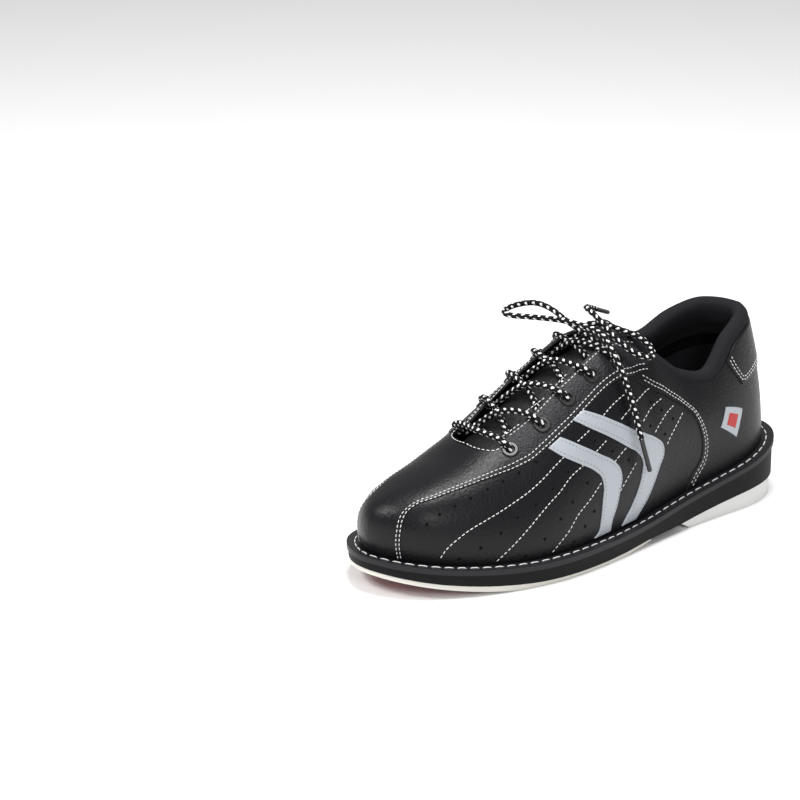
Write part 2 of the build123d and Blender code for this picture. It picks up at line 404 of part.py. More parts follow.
put("vamp", lift(coons(front, rear, lat, med), 0.0, -LEATHER, 16, 14))

# vamp lining: a closed cap from the welt line, over the ridge
def cap(sr, k, off_out, off_in, vr=1.0):
    f = plan_line([(s, .006) for s in np.linspace(k, -k, 15)], 41)
    l = plan_line([(s, .006) for s in np.linspace(k, sr, 9)], 41)
    r = plan_line([(-s, .006) for s in np.linspace(k, sr, 9)], 41)
    b1 = np.array([sv_to_plan(sr, v) for v in np.linspace(.006, 1, 20)]); b2 = np.array([sv_to_plan(-sr, v) for v in np.linspace(1, .006, 20)])
    bb = np.vstack([b1, b2[1:]]); d = np.r_[0, np.cumsum(np.linalg.norm(np.diff(bb, axis=0), axis=1))]; t = np.linspace(0, d[-1], 41)
    b = np.stack([np.interp(t, d, bb[:, 0]), np.interp(t, d, bb[:, 1])], 1)
    l[0], l[-1], r[0], r[-1] = f[0], b[0], f[-1], b[-1]
    g = coons(f, b, l, r)
    return lift(g, off_out, off_in, 12, 12)
put("vamp_lining", cap(.235, .085, LINING_OUT-.6, LINING_IN-.6))

def band(s0, s1, v0, v1, n, m):
    return coons(resample([(s0, v0), (s1, v0)], n), resample([(s0, v1), (s1, v1)], n), resample([(s0, v0), (s0, v1)], m), resample([(s1, v0), (s1, v1)], m))
for nm, mi in (("lateral", False), ("medial", True)):
    g = coons(resample([(.242,.006),(.992,.006)], 60), resample([(.242,.66),(.45,.60),(.60,.64),(.75,.64),(.85,.62),(.992,.58)], 60),
              resample([(.242,.006),(.242,.66)], 24), resample([(.992,.006),(.992,.58)], 24))
    put("quarter_lining_"+nm, wall(g, LINING_OUT-(.8 if mi else 0), LINING_IN-(.8 if mi else 0), mi, 8, 16))

# heel tab, stitched over the quarters round the back of the heel
def wrap(front_s, low, high, off_out, off_in, n=24, m=9):
    """patch round the heel: columns run from the lateral front edge to the medial one"""
    cols = []
    for k in range(2*n+1):
        t = abs(k-n)/n                      # 1 at the front edges, 0 at the back
        row = []
        for j in range(m):
            w = j/(m-1)
            fs = front_s(w)
            ss = 1-(1-fs)*t
            a, b = low(ss), high(ss)
            row.append((ss if k <= n else -ss, a+(b-a)*w))
        cols.append(row)
    g = np.array(cols)
    return plate(skin(g[..., 0], g[..., 1], off_out), skin(g[..., 0], g[..., 1], off_in), 18, 6)
tab_hi = lambda s: float(np.interp(s, [.84,.862,.88,1.0], [.888,.905,.917,.932]))
tab_lo = lambda s: float(catmull([.84]+[p[0] for p in TAB_EDGE[2:]], [.615]+[p[1] for p in TAB_EDGE[2:]], s))
put("heel_tab", wrap(lambda w: .857-.015*w, tab_lo, tab_hi, 1.6, 0.6))

# padded collar: rolled top edge over the leather, padding tapering away down the inside
def collar_rows(s):
    """outer line (lip, over the roll, down the inside) and back line against the leather"""
    q = abs(s); vl = float(np.interp(q, [p[0] for p in LIP], [p[1] for p in LIP]))
    k = float(np.interp(q, [.632,.66,.72,1.0], [.50,.66,1.0,1.0]))
    S = np.array(float(s)); p = top(S); n = normal(S, np.array(1.0))
    u = surf(S, np.array(1.0))-surf(S, np.array(.97)); H = np.linalg.norm(u)/.03; u = u/np.linalg.norm(u)
    def P(a, b):
        if b <= 0: return skin(S, np.array(1+b/H), -a)
        return p-n*a+u*b
    bl = (vl-1)*H
    t = COLLAR_T*k
    ctl = np.array([(-.35, bl), (-.95, bl*.45), (-.75, .3), (.07*t, 1.7), (.32*t, 2.7), (.6*t, 2.5), (.86*t, 1.1), (t, -1.8), (t*1.03, -6), (t*.93, -12), (t*.68, -18), (t*.42+.8, -23)])
    d = np.r_[0, np.cumsum(np.linalg.norm(np.diff(ctl, axis=0), axis=1))]; q = np.linspace(0, d[-1], 33)
    ab = np.stack([catmull(d, ctl[:, j], q) for j in (0, 1)], 1)
    out = [P(a, b) for a, b in ab]
    back = [P(2.3, bl+(-23.6-bl)*j/32.0) for j in range(33)]
    return out, back
for nm, sg in (("lateral", 1), ("medial", -1)):
    rows = [collar_rows(sg*q) for q in np.linspace(.636, .9985, 45)]
    o, i = np.array([r[0] for r in rows]), np.array([r[1] for r in rows])
    for g in (o, i): g[30:, :, 1] = sg*np.maximum(sg*g[30:, :, 1], .4)      # the halves meet in the middle of the heel
    put("collar_"+nm, plate(o, i, 14, 11))

# tongue
TX = [90,80,68,56,44,31,20,8,-4,-13,-20,-26]
TZC = [57.6,63.0,68.9,75.6,82.8,90.3,96.1,102.2,107.3,112.2,118.8,124.0]
TK = [.0120,.0125,.0157,.0165,.0184,.0194,.0209,.0220,.0275,.0400,.0370,.0360]
TW = [15,18,20.5,22,22.5,22.5,22.5,22,20.5,17.5,15,13.5]
yy = np.linspace(-1, 1, 15)
go = np.array([[(x-0.000*abs(y), y*w, z-k*(y*w)**2) for y in yy] for x, z, k, w in zip(TX, TZC, TK, TW)])
slope = np.gradient(np.array(TZC), np.array(TX))
gi = np.empty_like(go)
for r in range(len(TX)):
    for c in range(len(yy)):
        y = yy[c]*TW[r]; nn = np.array([-slope[r], 2*TK[r]*y, 1.0]); nn = nn/np.linalg.norm(nn)
        th = TONGUE_T*(1-.55*abs(yy[c])**3)
        gi[r, c] = go[r, c]-nn*th
put("tongue", plate(go, gi, 9, 6))

# ---- trim ----------------------------------------------------------------------
def strip(outer, inner, mirror, off0=0.4, off1=0.4+CHEVRON_T):
    a, b = resample(outer, 40), resample(inner, 40)
    g = np.stack([a*(1-t)+b*t for t in np.linspace(0, 1, 5)], 0)
    return wall(g, off1, off0, mirror, 3, 16)
for nm, mi in (("lateral", False), ("medial", True)):
    put("chevron_front_"+nm, strip(CH1_OUT, CH1_IN, mi))
    put("chevron_rear_"+nm, strip(CH2_OUT, CH2_IN, mi, 1.5 if mi else .4, (1.5 if mi else .4)+CHEVRON_T))
f, t_, r, b = [np.array(p) for p in EMBLEM]
u = np.linspace(0, 1, 9)[:, None, None]; w = np.linspace(0, 1, 9)[None, :, None]
put("emblem", wall((1-u)*(1-w)*f + u*(1-w)*t_ + (1-u)*w*b + u*w*r, 0.95, 0.35))

# ---- lace ------------------------------------------------------------------------
def cord(points, dia):
    P = [Vector(*p) for p in points]
    radii = []
    for i in range(1, len(P)-1):
        a, b = P[i]-P[i-1], P[i+1]-P[i]
        turn = a.get_angle(b)
        radii.append(0.45*min(a.length, b.length)/np.tan(np.radians(turn)/2))
    path = FilletPolyline(*P, radius=radii)
    w = path.wire() if hasattr(path, "wire") else path
    sec = Plane(origin=P[0], z_dir=(P[1]-P[0]).normalized()) * Circle(dia/2)
    tube = sweep(sec, path=w, transition=Transition.RIGHT)
    print("cord: length %.1f, smallest radius %.1f, volume ratio %.4f" % (w.length, min(radii), tube.volume/(np.pi*dia*dia/4*w.length)))
    print("radii", [round(float(x), 1) for x in radii])
    return tube
put("lace_a", cord(LACE_A, LACE_D))
put("lace_b", cord(LACE_B, LACE_D))
def aglet(route, L, dia):
    a, b = Vector(*route[-2]), Vector(*route[-1]); d = (b-a).normalized()
    body = Cylinder(dia/2, L, align=(Align.CENTER, Align.CENTER, Align.MIN))
    body = fillet(body.edges().filter_by(GeomType.CIRCLE).sort_by(Axis.Z)[-1:], 0.8)
    return Plane(origin=b+d*0.02, z_dir=d) * body
put("aglet_a", aglet(LACE_A, AGLET_L, AGLET_D))
put("aglet_b", aglet(LACE_B, AGLET_L, AGLET_D))

for name, shape in OUT.items():
    if isinstance(shape, list) or isinstance(shape, ShapeList): shape = Compound(children=list(shape))
    export_step(shape, "parts/%s.step" % name)
    print("%-24s %9.1f mm3" % (name, shape.volume))
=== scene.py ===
import bpy, math
import numpy as np
from mathutils import Vector, Matrix


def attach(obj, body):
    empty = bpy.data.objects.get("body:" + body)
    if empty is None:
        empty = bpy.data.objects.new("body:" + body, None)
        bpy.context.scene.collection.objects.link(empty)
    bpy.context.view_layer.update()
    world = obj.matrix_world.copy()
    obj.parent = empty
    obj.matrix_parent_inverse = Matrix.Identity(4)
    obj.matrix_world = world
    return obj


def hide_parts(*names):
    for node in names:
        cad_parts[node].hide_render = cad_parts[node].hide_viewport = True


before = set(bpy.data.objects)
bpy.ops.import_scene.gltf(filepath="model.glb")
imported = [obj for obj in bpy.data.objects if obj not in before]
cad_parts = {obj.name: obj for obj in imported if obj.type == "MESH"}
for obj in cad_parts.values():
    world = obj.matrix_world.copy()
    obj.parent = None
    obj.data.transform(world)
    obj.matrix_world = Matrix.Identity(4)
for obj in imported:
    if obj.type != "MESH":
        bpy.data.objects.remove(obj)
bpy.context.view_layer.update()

# Bowling shoe. The last surface and the seam lines below repeat part.py's (mm); pieces are made in metres.
LACE_D = 3.3
COLLAR_T = 8.2
TONGUE_T = 4.5
# ---- last surface: shared shape of the upper -------------------------------
WELT = np.array([[150.0,-6.0],[148.9,1.6],[146.1,9.1],[142.1,16.2],[137.2,22.6],[131.4,28.3],[124.6,33.5],[116.6,38.1],[107.8,42.2],[98.2,46.0],[88.0,49.3],[77.5,52.0],[67.1,54.1],[57.0,55.4],[47.3,56.0],[37.8,55.9],[28.2,55.3],[18.4,54.4],[8.5,53.2],[-1.8,51.7],[-12.2,50.0],[-22.9,48.2],[-33.7,46.5],[-44.5,45.0],[-55.3,43.8],[-66.1,43.0],[-76.9,42.5],[-87.5,42.2],[-98.0,42.1],[-108.3,41.5],[-118.2,39.8],[-127.5,36.6],[-136.0,31.7],[-142.8,25.5],[-147.4,18.3],[-149.7,10.6],[-150.0,2.8],[-148.9,-4.8],[-146.2,-12.0],[-141.9,-18.6],[-135.8,-24.4],[-128.1,-29.3],[-119.4,-32.9],[-109.9,-35.1],[-99.8,-36.1],[-89.3,-36.1],[-78.7,-35.4],[-68.0,-34.5],[-57.2,-33.7],[-46.4,-33.5],[-35.5,-34.3],[-24.7,-36.0],[-14.0,-38.4],[-3.6,-41.4],[6.5,-44.7],[16.3,-48.0],[25.9,-51.0],[35.3,-53.4],[44.7,-54.9],[54.3,-55.8],[64.3,-55.9],[74.8,-55.3],[85.4,-54.1],[96.0,-52.2],[106.1,-49.8],[115.5,-46.7],[123.9,-42.9],[131.2,-38.3],[137.2,-33.1],[142.1,-27.1],[146.1,-20.5],[148.9,-13.5]])
HEEL_TIP = 36          # index of the rearmost outline point; index 0 is the toe tip
FEATHER_INSET = 8.0

def pchip(x, y, q):
    """monotone cubic interpolation of y (n or n x k) over x at q"""
    x = np.asarray(x, float); y = np.asarray(y, float); q = np.asarray(q, float)
    one = y.ndim == 1
    if one: y = y[:, None]
    h = np.diff(x)[:, None]; d = np.diff(y, axis=0) / h
    m = np.zeros_like(y)
    w1 = 2*h[1:] + h[:-1]; w2 = h[1:] + 2*h[:-1]
    ok = d[1:]*d[:-1] > 0
    dd = np.where(ok, d[:-1], 1.0); de = np.where(ok, d[1:], 1.0)
    m[1:-1] = np.where(ok, (w1+w2)/(w1/dd + w2/de), 0.0)
    m[0] = 0.0 if len(x) < 3 else _end(h[0], h[1], d[0], d[1])
    m[-1] = 0.0 if len(x) < 3 else _end(h[-1], h[-2], d[-1], d[-2])
    i = np.clip(np.searchsorted(x, q, side="right")-1, 0, len(x)-2)
    H = (x[i+1]-x[i])[..., None]; t = np.clip((q-x[i])[..., None]/H, 0, 1)
    r = ((1+2*t)*(1-t)**2*y[i] + t*(1-t)**2*H*m[i] + t*t*(3-2*t)*y[i+1] + t*t*(t-1)*H*m[i+1])
    return r[..., 0] if one else r

def _end(h0, h1, d0, d1):
    m = ((2*h0+h1)*d0 - h0*d1)/(h0+h1)
    m = np.where(np.sign(m) != np.sign(d0), 0.0, m)
    return np.where((np.sign(d0) != np.sign(d1)) & (np.abs(m) > 3*np.abs(d0)), 3*d0, m)

def catmull(x, y, q):
    """C1 cubic through y over x (centred slopes)"""
    x = np.asarray(x, float); y = np.asarray(y, float); q = np.asarray(q, float)
    one = y.ndim == 1
    if one: y = y[:, None]
    h = np.diff(x)[:, None]; d = np.diff(y, axis=0)/h
    m = np.empty_like(y); m[0] = d[0]; m[-1] = d[-1]
    m[1:-1] = (d[:-1]*h[1:] + d[1:]*h[:-1])/(h[1:]+h[:-1])
    i = np.clip(np.searchsorted(x, q, side="right")-1, 0, len(x)-2)
    H = (x[i+1]-x[i])[..., None]; t = (q-x[i])[..., None]/H
    r = ((1+2*t)*(1-t)**2*y[i] + t*(1-t)**2*H*m[i] + t*t*(3-2*t)*y[i+1] + t*t*(t-1)*H*m[i+1])
    return r[..., 0] if one else r

# cumulative length of the outline, toe tip -> lateral -> heel -> medial -> toe tip
_W3 = np.vstack([WELT[-3:], WELT, WELT[:4]])
_D3 = np.r_[0, np.cumsum(np.linalg.norm(np.diff(_W3, axis=0), axis=1))]; _D3 = _D3 - _D3[3]
_LH = _D3[3+HEEL_TIP]; _LA = _D3[3+len(WELT)]

def outline(s, inset=0.0):
    """plan point and outward normal; s 0 toe tip, +1 heel by the lateral side, -1 by the medial"""
    s = np.asarray(s, float)
    t = np.where(s >= 0, s*_LH, _LA + s*(_LA-_LH))
    p = catmull(_D3, _W3, t); e = 0.4
    d = catmull(_D3, _W3, t+e) - catmull(_D3, _W3, t-e)
    d = d/np.linalg.norm(d, axis=-1, keepdims=True)
    n = np.stack([d[..., 1], -d[..., 0]], -1)
    return p - inset*n, n

# heights along the shoe: welt top
ZTX = [-150,-130,-110,-85,-60,-40,-24,0,20,45,70,90,110,130,150]
ZTZ = [36.6,32.2,27.9,23.6,19.9,17.1,15.2,13.9,13.6,13.4,13.5,14.6,16.5,19.0,21.8]
def zwelt(x): return catmull(ZTX, ZTZ, x)

# section controls over |s|
SSEC = [0,.08,.17,.27,.38,.5,.6,.7,.8,.9,1.]
WALL = [32.5,30.3,27.8,28.6,33.2,38.2,39.7,38.6,37.1,35.5,33.8]      # wall handle length
FLARE = [16.9,14.1,9.6,7.2,7.0,7.0,5.6,3.3,.5,-1.2,-1.7]            # wall lean, degrees out
TOPH = [31.1,29.4,28.4,31.0,36.0,39.0,38.0,34.8,30.7,27.2,24.0]      # top handle length
STOP = [0,.08,.17,.25,.31,.37,.43,.49,.54,.585,.62,.66,.71,.78,.86,.93,1.0]
XTOP = [104,100,90,77,64,48,31,12,-7,-22,-34,-47,-60,-77,-100,-122,-136]
YLAT = [0,0,0,0,0,0,0,.8,5,12,19.5,25,28.8,30.9,27.1,18.2,0]
YMED = [0,0,0,0,0,0,0,.8,5,12,19.5,25,27.8,27.6,25.4,18.4,0]
ZLAT = [62,63.2,66.2,72.5,79.5,89,99,109,116.5,118.5,113.0,101.5,91.4,87.0,104.5,110.8,110.8]
ZMED = [62,63.2,66.2,72.5,79.5,89,99,109,116.5,118.5,115.0,107.5,102,98.0,107.3,112.6,110.8]
TILTS = [0,.42,.49,.54,.59,.64,.72,.85,1]
TILT = [0,0,0,6,36,55,70,75.5,75.5]
FANS = [0,.15,.27,1]; FAN = [0,62,90,90]
_UP = np.array([0,0,1.0]); _FW = np.array([1,0,-.30]); _FW = _FW/np.linalg.norm(_FW)

def top(s):
    """top edge of the last surface: ridge over the forefoot, then collar line"""
    m = np.abs(s)
    a = pchip(STOP, np.stack([XTOP, YLAT, ZLAT], 1), m)
    b = pchip(STOP, np.stack([XTOP, -np.array(YMED), ZMED], 1), m)
    return np.where((s >= 0)[..., None], a, b)

def surf(s, v):
    """last surface point; v 0 at the welt, 1 at the top edge"""
    s, v = np.broadcast_arrays(np.asarray(s, float), np.asarray(v, float))
    m = np.abs(s); sg = np.where(s >= 0, 1.0, -1.0)
    f2, n2 = outline(s, FEATHER_INSET)
    F = np.concatenate([f2, zwelt(f2[..., 0])[..., None]], -1)
    n = np.concatenate([n2, 0*n2[..., :1]], -1)
    T = top(s)
    be = np.radians(pchip(SSEC, FLARE, m))[..., None]
    ga = np.radians(pchip(TILTS, TILT, m))[..., None]
    ph = np.radians(pchip(FANS, FAN, m))[..., None]
    P1 = F + pchip(SSEC, WALL, m)[..., None]*(np.cos(be)*_UP + np.sin(be)*n)
    side = np.zeros(s.shape+(3,)); side[..., 1] = sg
    d = np.cos(ph)*_FW + np.sin(ph)*side
    w = np.clip((m-.45)/.25, 0, 1)[..., None]; w = w*w*(3-2*w)
    d = (1-w)*d + w*n; d = d/np.linalg.norm(d, axis=-1, keepdims=True)
    P2 = T + pchip(SSEC, TOPH, m)[..., None]*(np.cos(ga)*d - np.sin(ga)*_UP)
    v = v[..., None]
    return (1-v)**3*F + 3*(1-v)**2*v*P1 + 3*(1-v)*v*v*P2 + v**3*T

def skin(s, v, off=0.0):
    """point at a distance off outside (+) or inside (-) the last surface"""
    s, v = np.broadcast_arrays(np.asarray(s, float), np.asarray(v, float))
    p = surf(s, v)
    if np.all(np.asarray(off) == 0): return p
    return p + normal(s, v)*np.asarray(off)[..., None]

def normal(s, v):
    s, v = np.broadcast_arrays(np.asarray(s, float), np.asarray(v, float))
    e = 2e-3; vv = np.clip(v, 0, .985)
    ds = surf(np.clip(s+e, -1, 1), vv) - surf(np.clip(s-e, -1, 1), vv)
    dv = surf(s, np.clip(vv+e, 0, 1)) - surf(s, np.clip(vv-e, 0, 1))
    n = np.cross(ds, dv); n = n/(np.linalg.norm(n, axis=-1, keepdims=True)+1e-12)
    # orientation: outward on every side
    return n

_SG = np.linspace(-1, 1, 1601)
def plan_to_sv(X, Y):
    """(s, v) of a pattern point: v runs in a straight line from welt line to top edge"""
    X, Y = np.broadcast_arrays(np.asarray(X, float), np.asarray(Y, float))
    F, _ = outline(_SG, FEATHER_INSET); T = top(_SG)[:, :2]
    sh = X.shape; X = X.ravel(); Y = Y.ravel()
    so = np.empty(X.size); vo = np.empty(X.size)
    dT = T-F
    for k in range(X.size):
        rx = X[k]-F[:, 0]; ry = Y[k]-F[:, 1]
        g = dT[:, 0]*ry - dT[:, 1]*rx
        vv = (rx*dT[:, 0]+ry*dT[:, 1])/(dT**2).sum(1)
        z = np.where((np.sign(g[:-1]) != np.sign(g[1:])) & (vv[:-1] > -.3) & (vv[:-1] < 1.05))[0]
        if len(z) == 0:
            j = int(np.argmin(np.abs(g)/np.linalg.norm(dT, axis=1) + 5*np.clip(vv-1, 0, 9))); so[k] = _SG[j]; vo[k] = np.clip(vv[j], 0, 1); continue
        j = z[np.argmin(np.abs(vv[z]-.5))]
        t = g[j]/(g[j]-g[j+1]); so[k] = _SG[j]+t*(_SG[j+1]-_SG[j]); vo[k] = vv[j]+t*(vv[j+1]-vv[j])
    return so.reshape(sh), np.clip(vo.reshape(sh), 0, 1)

def sv_to_plan(s, v):
    s = np.asarray(s, float); v = np.asarray(v, float)[..., None]
    return (1-v)*outline(s, FEATHER_INSET)[0] + v*top(s)[..., :2]
# ---- end of last surface ----------------------------------------------------

VAMP_FRONT = [(.0640,.000),(.0604,.120),(.0585,.255),(.0565,.358),(.0575,.450),(.0645,.530)]
VAMP_TOP = [(.0645,.530),(.0790,.594),(.0995,.622),(.121,.648),(.145,.665),(.170,.672),(.194,.671),(.217,.665),(.241,.657),(.265,.648),(.289,.638),(.312,.632),(.334,.626),(.359,.634),(.384,.643),(.410,.652),(.435,.660),(.461,.673),(.486,.688),(.507,.704),(.527,.722),(.546,.738),(.571,.768),(.590,.800),(.608,.839),(.625,.895)]
QUARTER = [(.5715,.757),(.590,.7415),(.606,.738),(.639,.757),(.680,.778),(.701,.765),(.7157,.729),(.7275,.610),(.7321,.442),(.7330,.315),(.7313,.216),(.7262,.141),(.7193,.101),(.7078,.062),(.690,.000)]
THROAT = [(.2350,1.0),(.2362,.941),(.2493,.867),(.2697,.799),(.289,.775)]
THROAT_EDGE = [(.289,.775),(.297,.815),(.3196,.8295),(.3505,.8216),(.3886,.8234),(.4234,.8328),(.4534,.8389),(.481,.846),(.512,.870),(.539,.905),(.565,.935),(.590,.965),(.606,.985)]
COLLAR_SEAM = [(.6253,.8997),(.6397,.933),(.6622,.948),(.7034,.960),(.74,.962),(.7774,.958),(.8052,.930),(.8232,.900),(.8413,.885)]
TAB_EDGE = [(.838,.800),(.848,.700),(.857,.604),(.880,.584),(.915,.584),(.96,.612),(1.0,.630)]
CH1_OUT = [(.4009,.6031),(.4322,.5045),(.4674,.4097),(.4966,.338),(.5062,.301),(.5093,.253),(.5037,.2038),(.4961,.1403),(.4850,.0769),(.4816,.0216)]
CH1_IN = [(.3708,.5938),(.3878,.5222),(.4219,.4222),(.4501,.3503),(.4633,.3014),(.4657,.2562),(.4613,.1985),(.456,.104),(.452,.0468),(.4416,.0193)]
CH2_OUT = [(.4619,.6424),(.4875,.5708),(.5185,.4904),(.5458,.4376),(.5691,.424),(.5942,.4026),(.6135,.3633),(.6163,.309),(.6069,.2451),(.5958,.1726),(.5798,.1001),(.5598,.0444),(.550,.0192)]
CH2_IN = [(.4354,.6363),(.4615,.5459),(.4948,.4541),(.5313,.3663),(.5466,.3381),(.5611,.2865),(.5591,.2262),(.5501,.1618),(.5363,.1023),(.5223,.0561),(.5123,.0193)]
EMBLEM = ((.772,.40),(.803,.60),(.834,.40),(.803,.20))    # plain diamond: front, top, rear, bottom


LACE_A = [(71.9,0,78.5),(69.1,14.7,78),(67.6,24.8,74.1),(64.1,20.4,67.5),(58.9,13,74.4),(52.2,0,81.5),(49.5,-16.2,88.7),(45.5,-27.1,84.3),(42.4,-21.9,78.2),(37.4,-13.9,86.9),(34.5,0,98.5),(30.6,17.2,99.2),(26.2,26.6,95.2),(23.1,21.2,89.3),(17.7,14.5,97.2),(12.7,0,104),(12.1,-17.9,108),(6.8,-25,104.7),(4.3,-19,99.1),(-2.5,-15.8,105.9),(-3.2,0,116.7),(-5.9,20.6,114.4),(-11.2,28,109.4),(-11.6,21.9,103.4),(-13.5,14,110),(-11,6.5,116),(-8.5,-2,119.6),(-6,-10.5,123.5),(-3.5,-20,129),(2,-28,132.5),(12,-34,131.5),(21.5,-34.5,129.5),(24.5,-28,129),(18.5,-20.5,128.8),(10,-13,128),(2.5,-5.5,127),(-3,3.5,125.5),(-6,13,124),(-5.5,22,122),(-3.9,31.1,114),(-6.3,35.1,105.3),(-8.1,38.1,96.3),(-9.1,41.4,87.4),(-10.1,43.9,79),(-11,45.6,71.4),(-12,46.4,66.7)]
LACE_B = [(71.9,0,78.5),(68.9,-14.9,78),(67.2,-25.2,74.1),(63.8,-20.8,67.5),(58.9,-13.2,74.8),(55.1,0,86.2),(49.7,16.3,88.7),(45.9,27.3,84.3),(42.7,22.3,78.2),(37.4,14,86.6),(31.7,0,93.7),(30.5,-16.9,99.1),(26,-25.8,95.2),(23.1,-20.1,89.4),(17.8,-14.1,97.5),(15.1,0,108.9),(12.3,18.4,108),(7.2,26.1,104.8),(4.5,20.5,98.9),(-2.3,16.5,105.5),(-5,0,111.5),(-6.3,-20.1,114.3),(-11.6,-26.9,109.2),(-12.1,-20.3,103.8),(-15,-13.5,110.5),(-14,-6,117),(-12,1.5,124.3),(-18.5,8.5,123.8),(-24.5,16,120.8),(-31.5,22,117.5),(-36,28,111.5),(-31.5,34.5,107.8),(-24,33.5,109.5),(-17.5,27,114.2),(-13.5,18.5,121.3),(-12,9.5,128.4),(-12.5,0,131.8),(-17.5,-7.5,130.6),(-25.5,-12.5,127.4),(-33.5,-16,124)]

LIP = [(.6253,.905),(.6397,.936),(.6622,.950),(.7034,.962),(.74,.964),(.7774,.960),(.8052,.934),(.8232,.906),(.8413,.903),(.862,.926),(.88,.938),(1.0,.953)]
TX = [90,80,68,56,44,31,20,8,-4,-13,-20,-26]
TZC = [57.6,63.0,68.9,75.6,82.8,90.3,96.1,102.2,107.3,112.2,118.8,124.0]
TK = [.0120,.0125,.0157,.0165,.0184,.0194,.0209,.0220,.0275,.0400,.0370,.0360]
TW = [15,18,20.5,22,22.5,22.5,22.5,22,20.5,17.5,15,13.5]

MM = 0.001
def resample(pts, n, ks=360.0, kv=85.0):
    P = np.array(pts, float)
    d = np.r_[0, np.cumsum(np.hypot(np.diff(P[:, 0])*ks, np.diff(P[:, 1])*kv))]
    if len(P) == 2:
        t = np.linspace(0, d[-1], n); return np.stack([np.interp(t, d, P[:, 0]), np.interp(t, d, P[:, 1])], 1)
    dd = np.linspace(0, d[-1], 600); C = catmull(d, P, dd)
    e = np.r_[0, np.cumsum(np.hypot(np.diff(C[:, 0])*ks, np.diff(C[:, 1])*kv))]; t = np.linspace(0, e[-1], n)
    return np.stack([np.interp(t, e, C[:, 0]), np.interp(t, e, C[:, 1])], 1)
def shift(pts, ds, dv): return [(a+ds, b+dv) for a, b in pts]
def coons(bottom, top_, left, right):
    m, n = len(left), len(bottom)
    u = np.linspace(0, 1, n)[None, :, None]; w = np.linspace(0, 1, m)[:, None, None]
    return ((1-w)*bottom[None] + w*top_[None] + (1-u)*left[:, None] + u*right[:, None]
            - (1-u)*(1-w)*bottom[0] - u*(1-w)*bottom[-1] - (1-u)*w*top_[0] - u*w*top_[-1])
def lines(n, size, e=0.45):
    a = e/size
    return np.r_[0, a*.4, a, a*2.2, np.linspace(a*4, 1-a*4, n), 1-a*2.2, 1-a, 1-a*.4, 1]
def refine(g, m, n, hm, hn):
    """grid re-read on lines that crowd towards its edges, so the edge can be rounded"""
    tm, tn = lines(m, hm), lines(n, hn)
    a = np.stack([[np.interp(tn, np.linspace(0, 1, g.shape[1]), r[:, k]) for r in g] for k in range(g.shape[2])], -1)
    return np.stack([[np.interp(tm, np.linspace(0, 1, g.shape[0]), a[:, j, k]) for j in range(a.shape[1])] for k in range(g.shape[2])], -1).transpose(1, 0, 2)
def rim(m, n, th=.9, open_edges=()):
    """drop of the surface at the rounded edges"""
    p = np.array([.55, .22, .07, 0.0])*th
    r = np.zeros(m); c = np.zeros(n)
    r[:4] = p if "bottom" not in open_edges else 0; r[-4:] = p[::-1] if "top" not in open_edges else 0
    c[:4] = p if "left" not in open_edges else 0; c[-4:] = p[::-1] if "right" not in open_edges else 0
    return np.maximum(r[:, None], c[None, :])

def mesh_object(name, V, F, mats, smooth=True, mat_idx=None, sharp=55):
    me = bpy.data.meshes.new(name); me.from_pydata([tuple(map(float, v)) for v in np.asarray(V)*MM], [], F); me.validate()
    for m in mats: me.materials.append(m)
    if mat_idx is not None: me.polygons.foreach_set("material_index", np.asarray(mat_idx, dtype=np.int32))
    if smooth: me.polygons.foreach_set("use_smooth", [True]*len(me.polygons))
    if sharp: me.set_sharp_from_angle(angle=math.radians(sharp))
    me.update(); o = bpy.data.objects.new(name, me); bpy.context.scene.collection.objects.link(o)
    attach(o, "root")
    return o

def shell(name, outer, inner, mat, flip=False):
    m, n = outer.shape[:2]; V = np.vstack([outer.reshape(-1, 3), inner.reshape(-1, 3)]); N = m*n; F = []
    I = lambda i, j: i*n+j
    for i in range(m-1):
        for j in range(n-1):
            q = (I(i, j), I(i, j+1), I(i+1, j+1), I(i+1, j)); F.append(q); F.append(tuple(N+a for a in q[::-1]))
    ring = [I(0, j) for j in range(n)]+[I(i, n-1) for i in range(1, m)]+[I(m-1, j) for j in range(n-2, -1, -1)]+[I(i, 0) for i in range(m-2, 0, -1)]
    for a, b in zip(ring, ring[1:]+ring[:1]): F.append((b, a, N+a, N+b))
    if flip: F = [f[::-1] for f in F]
    return mesh_object(name, V, F, [mat])

def orient(name, g, off, th, mat, mirror=False, m=26, n=70, hm=50, hn=200, open_edges=()):
    g = refine(g, m, n, hm, hn); d = rim(g.shape[0], g.shape[1], min(.9, th*.6), open_edges)
    s, v = g[..., 0].copy(), np.clip(g[..., 1], 0, 1)
    if mirror: s = -s
    o, i = skin(s, v, off-d), skin(s, v, off-th)
    a = np.cross(o[1, 0]-o[0, 0], o[0, 1]-o[0, 0]); c = o.shape[0]//2, o.shape[1]//2
    du, dv = o[c[0]+1, c[1]]-o[c], o[c[0], c[1]+1]-o[c]
    nn = normal(s[c], v[c]); flip = np.dot(np.cross(dv, du), nn) < 0
    return shell(name, o, i, mat, flip)

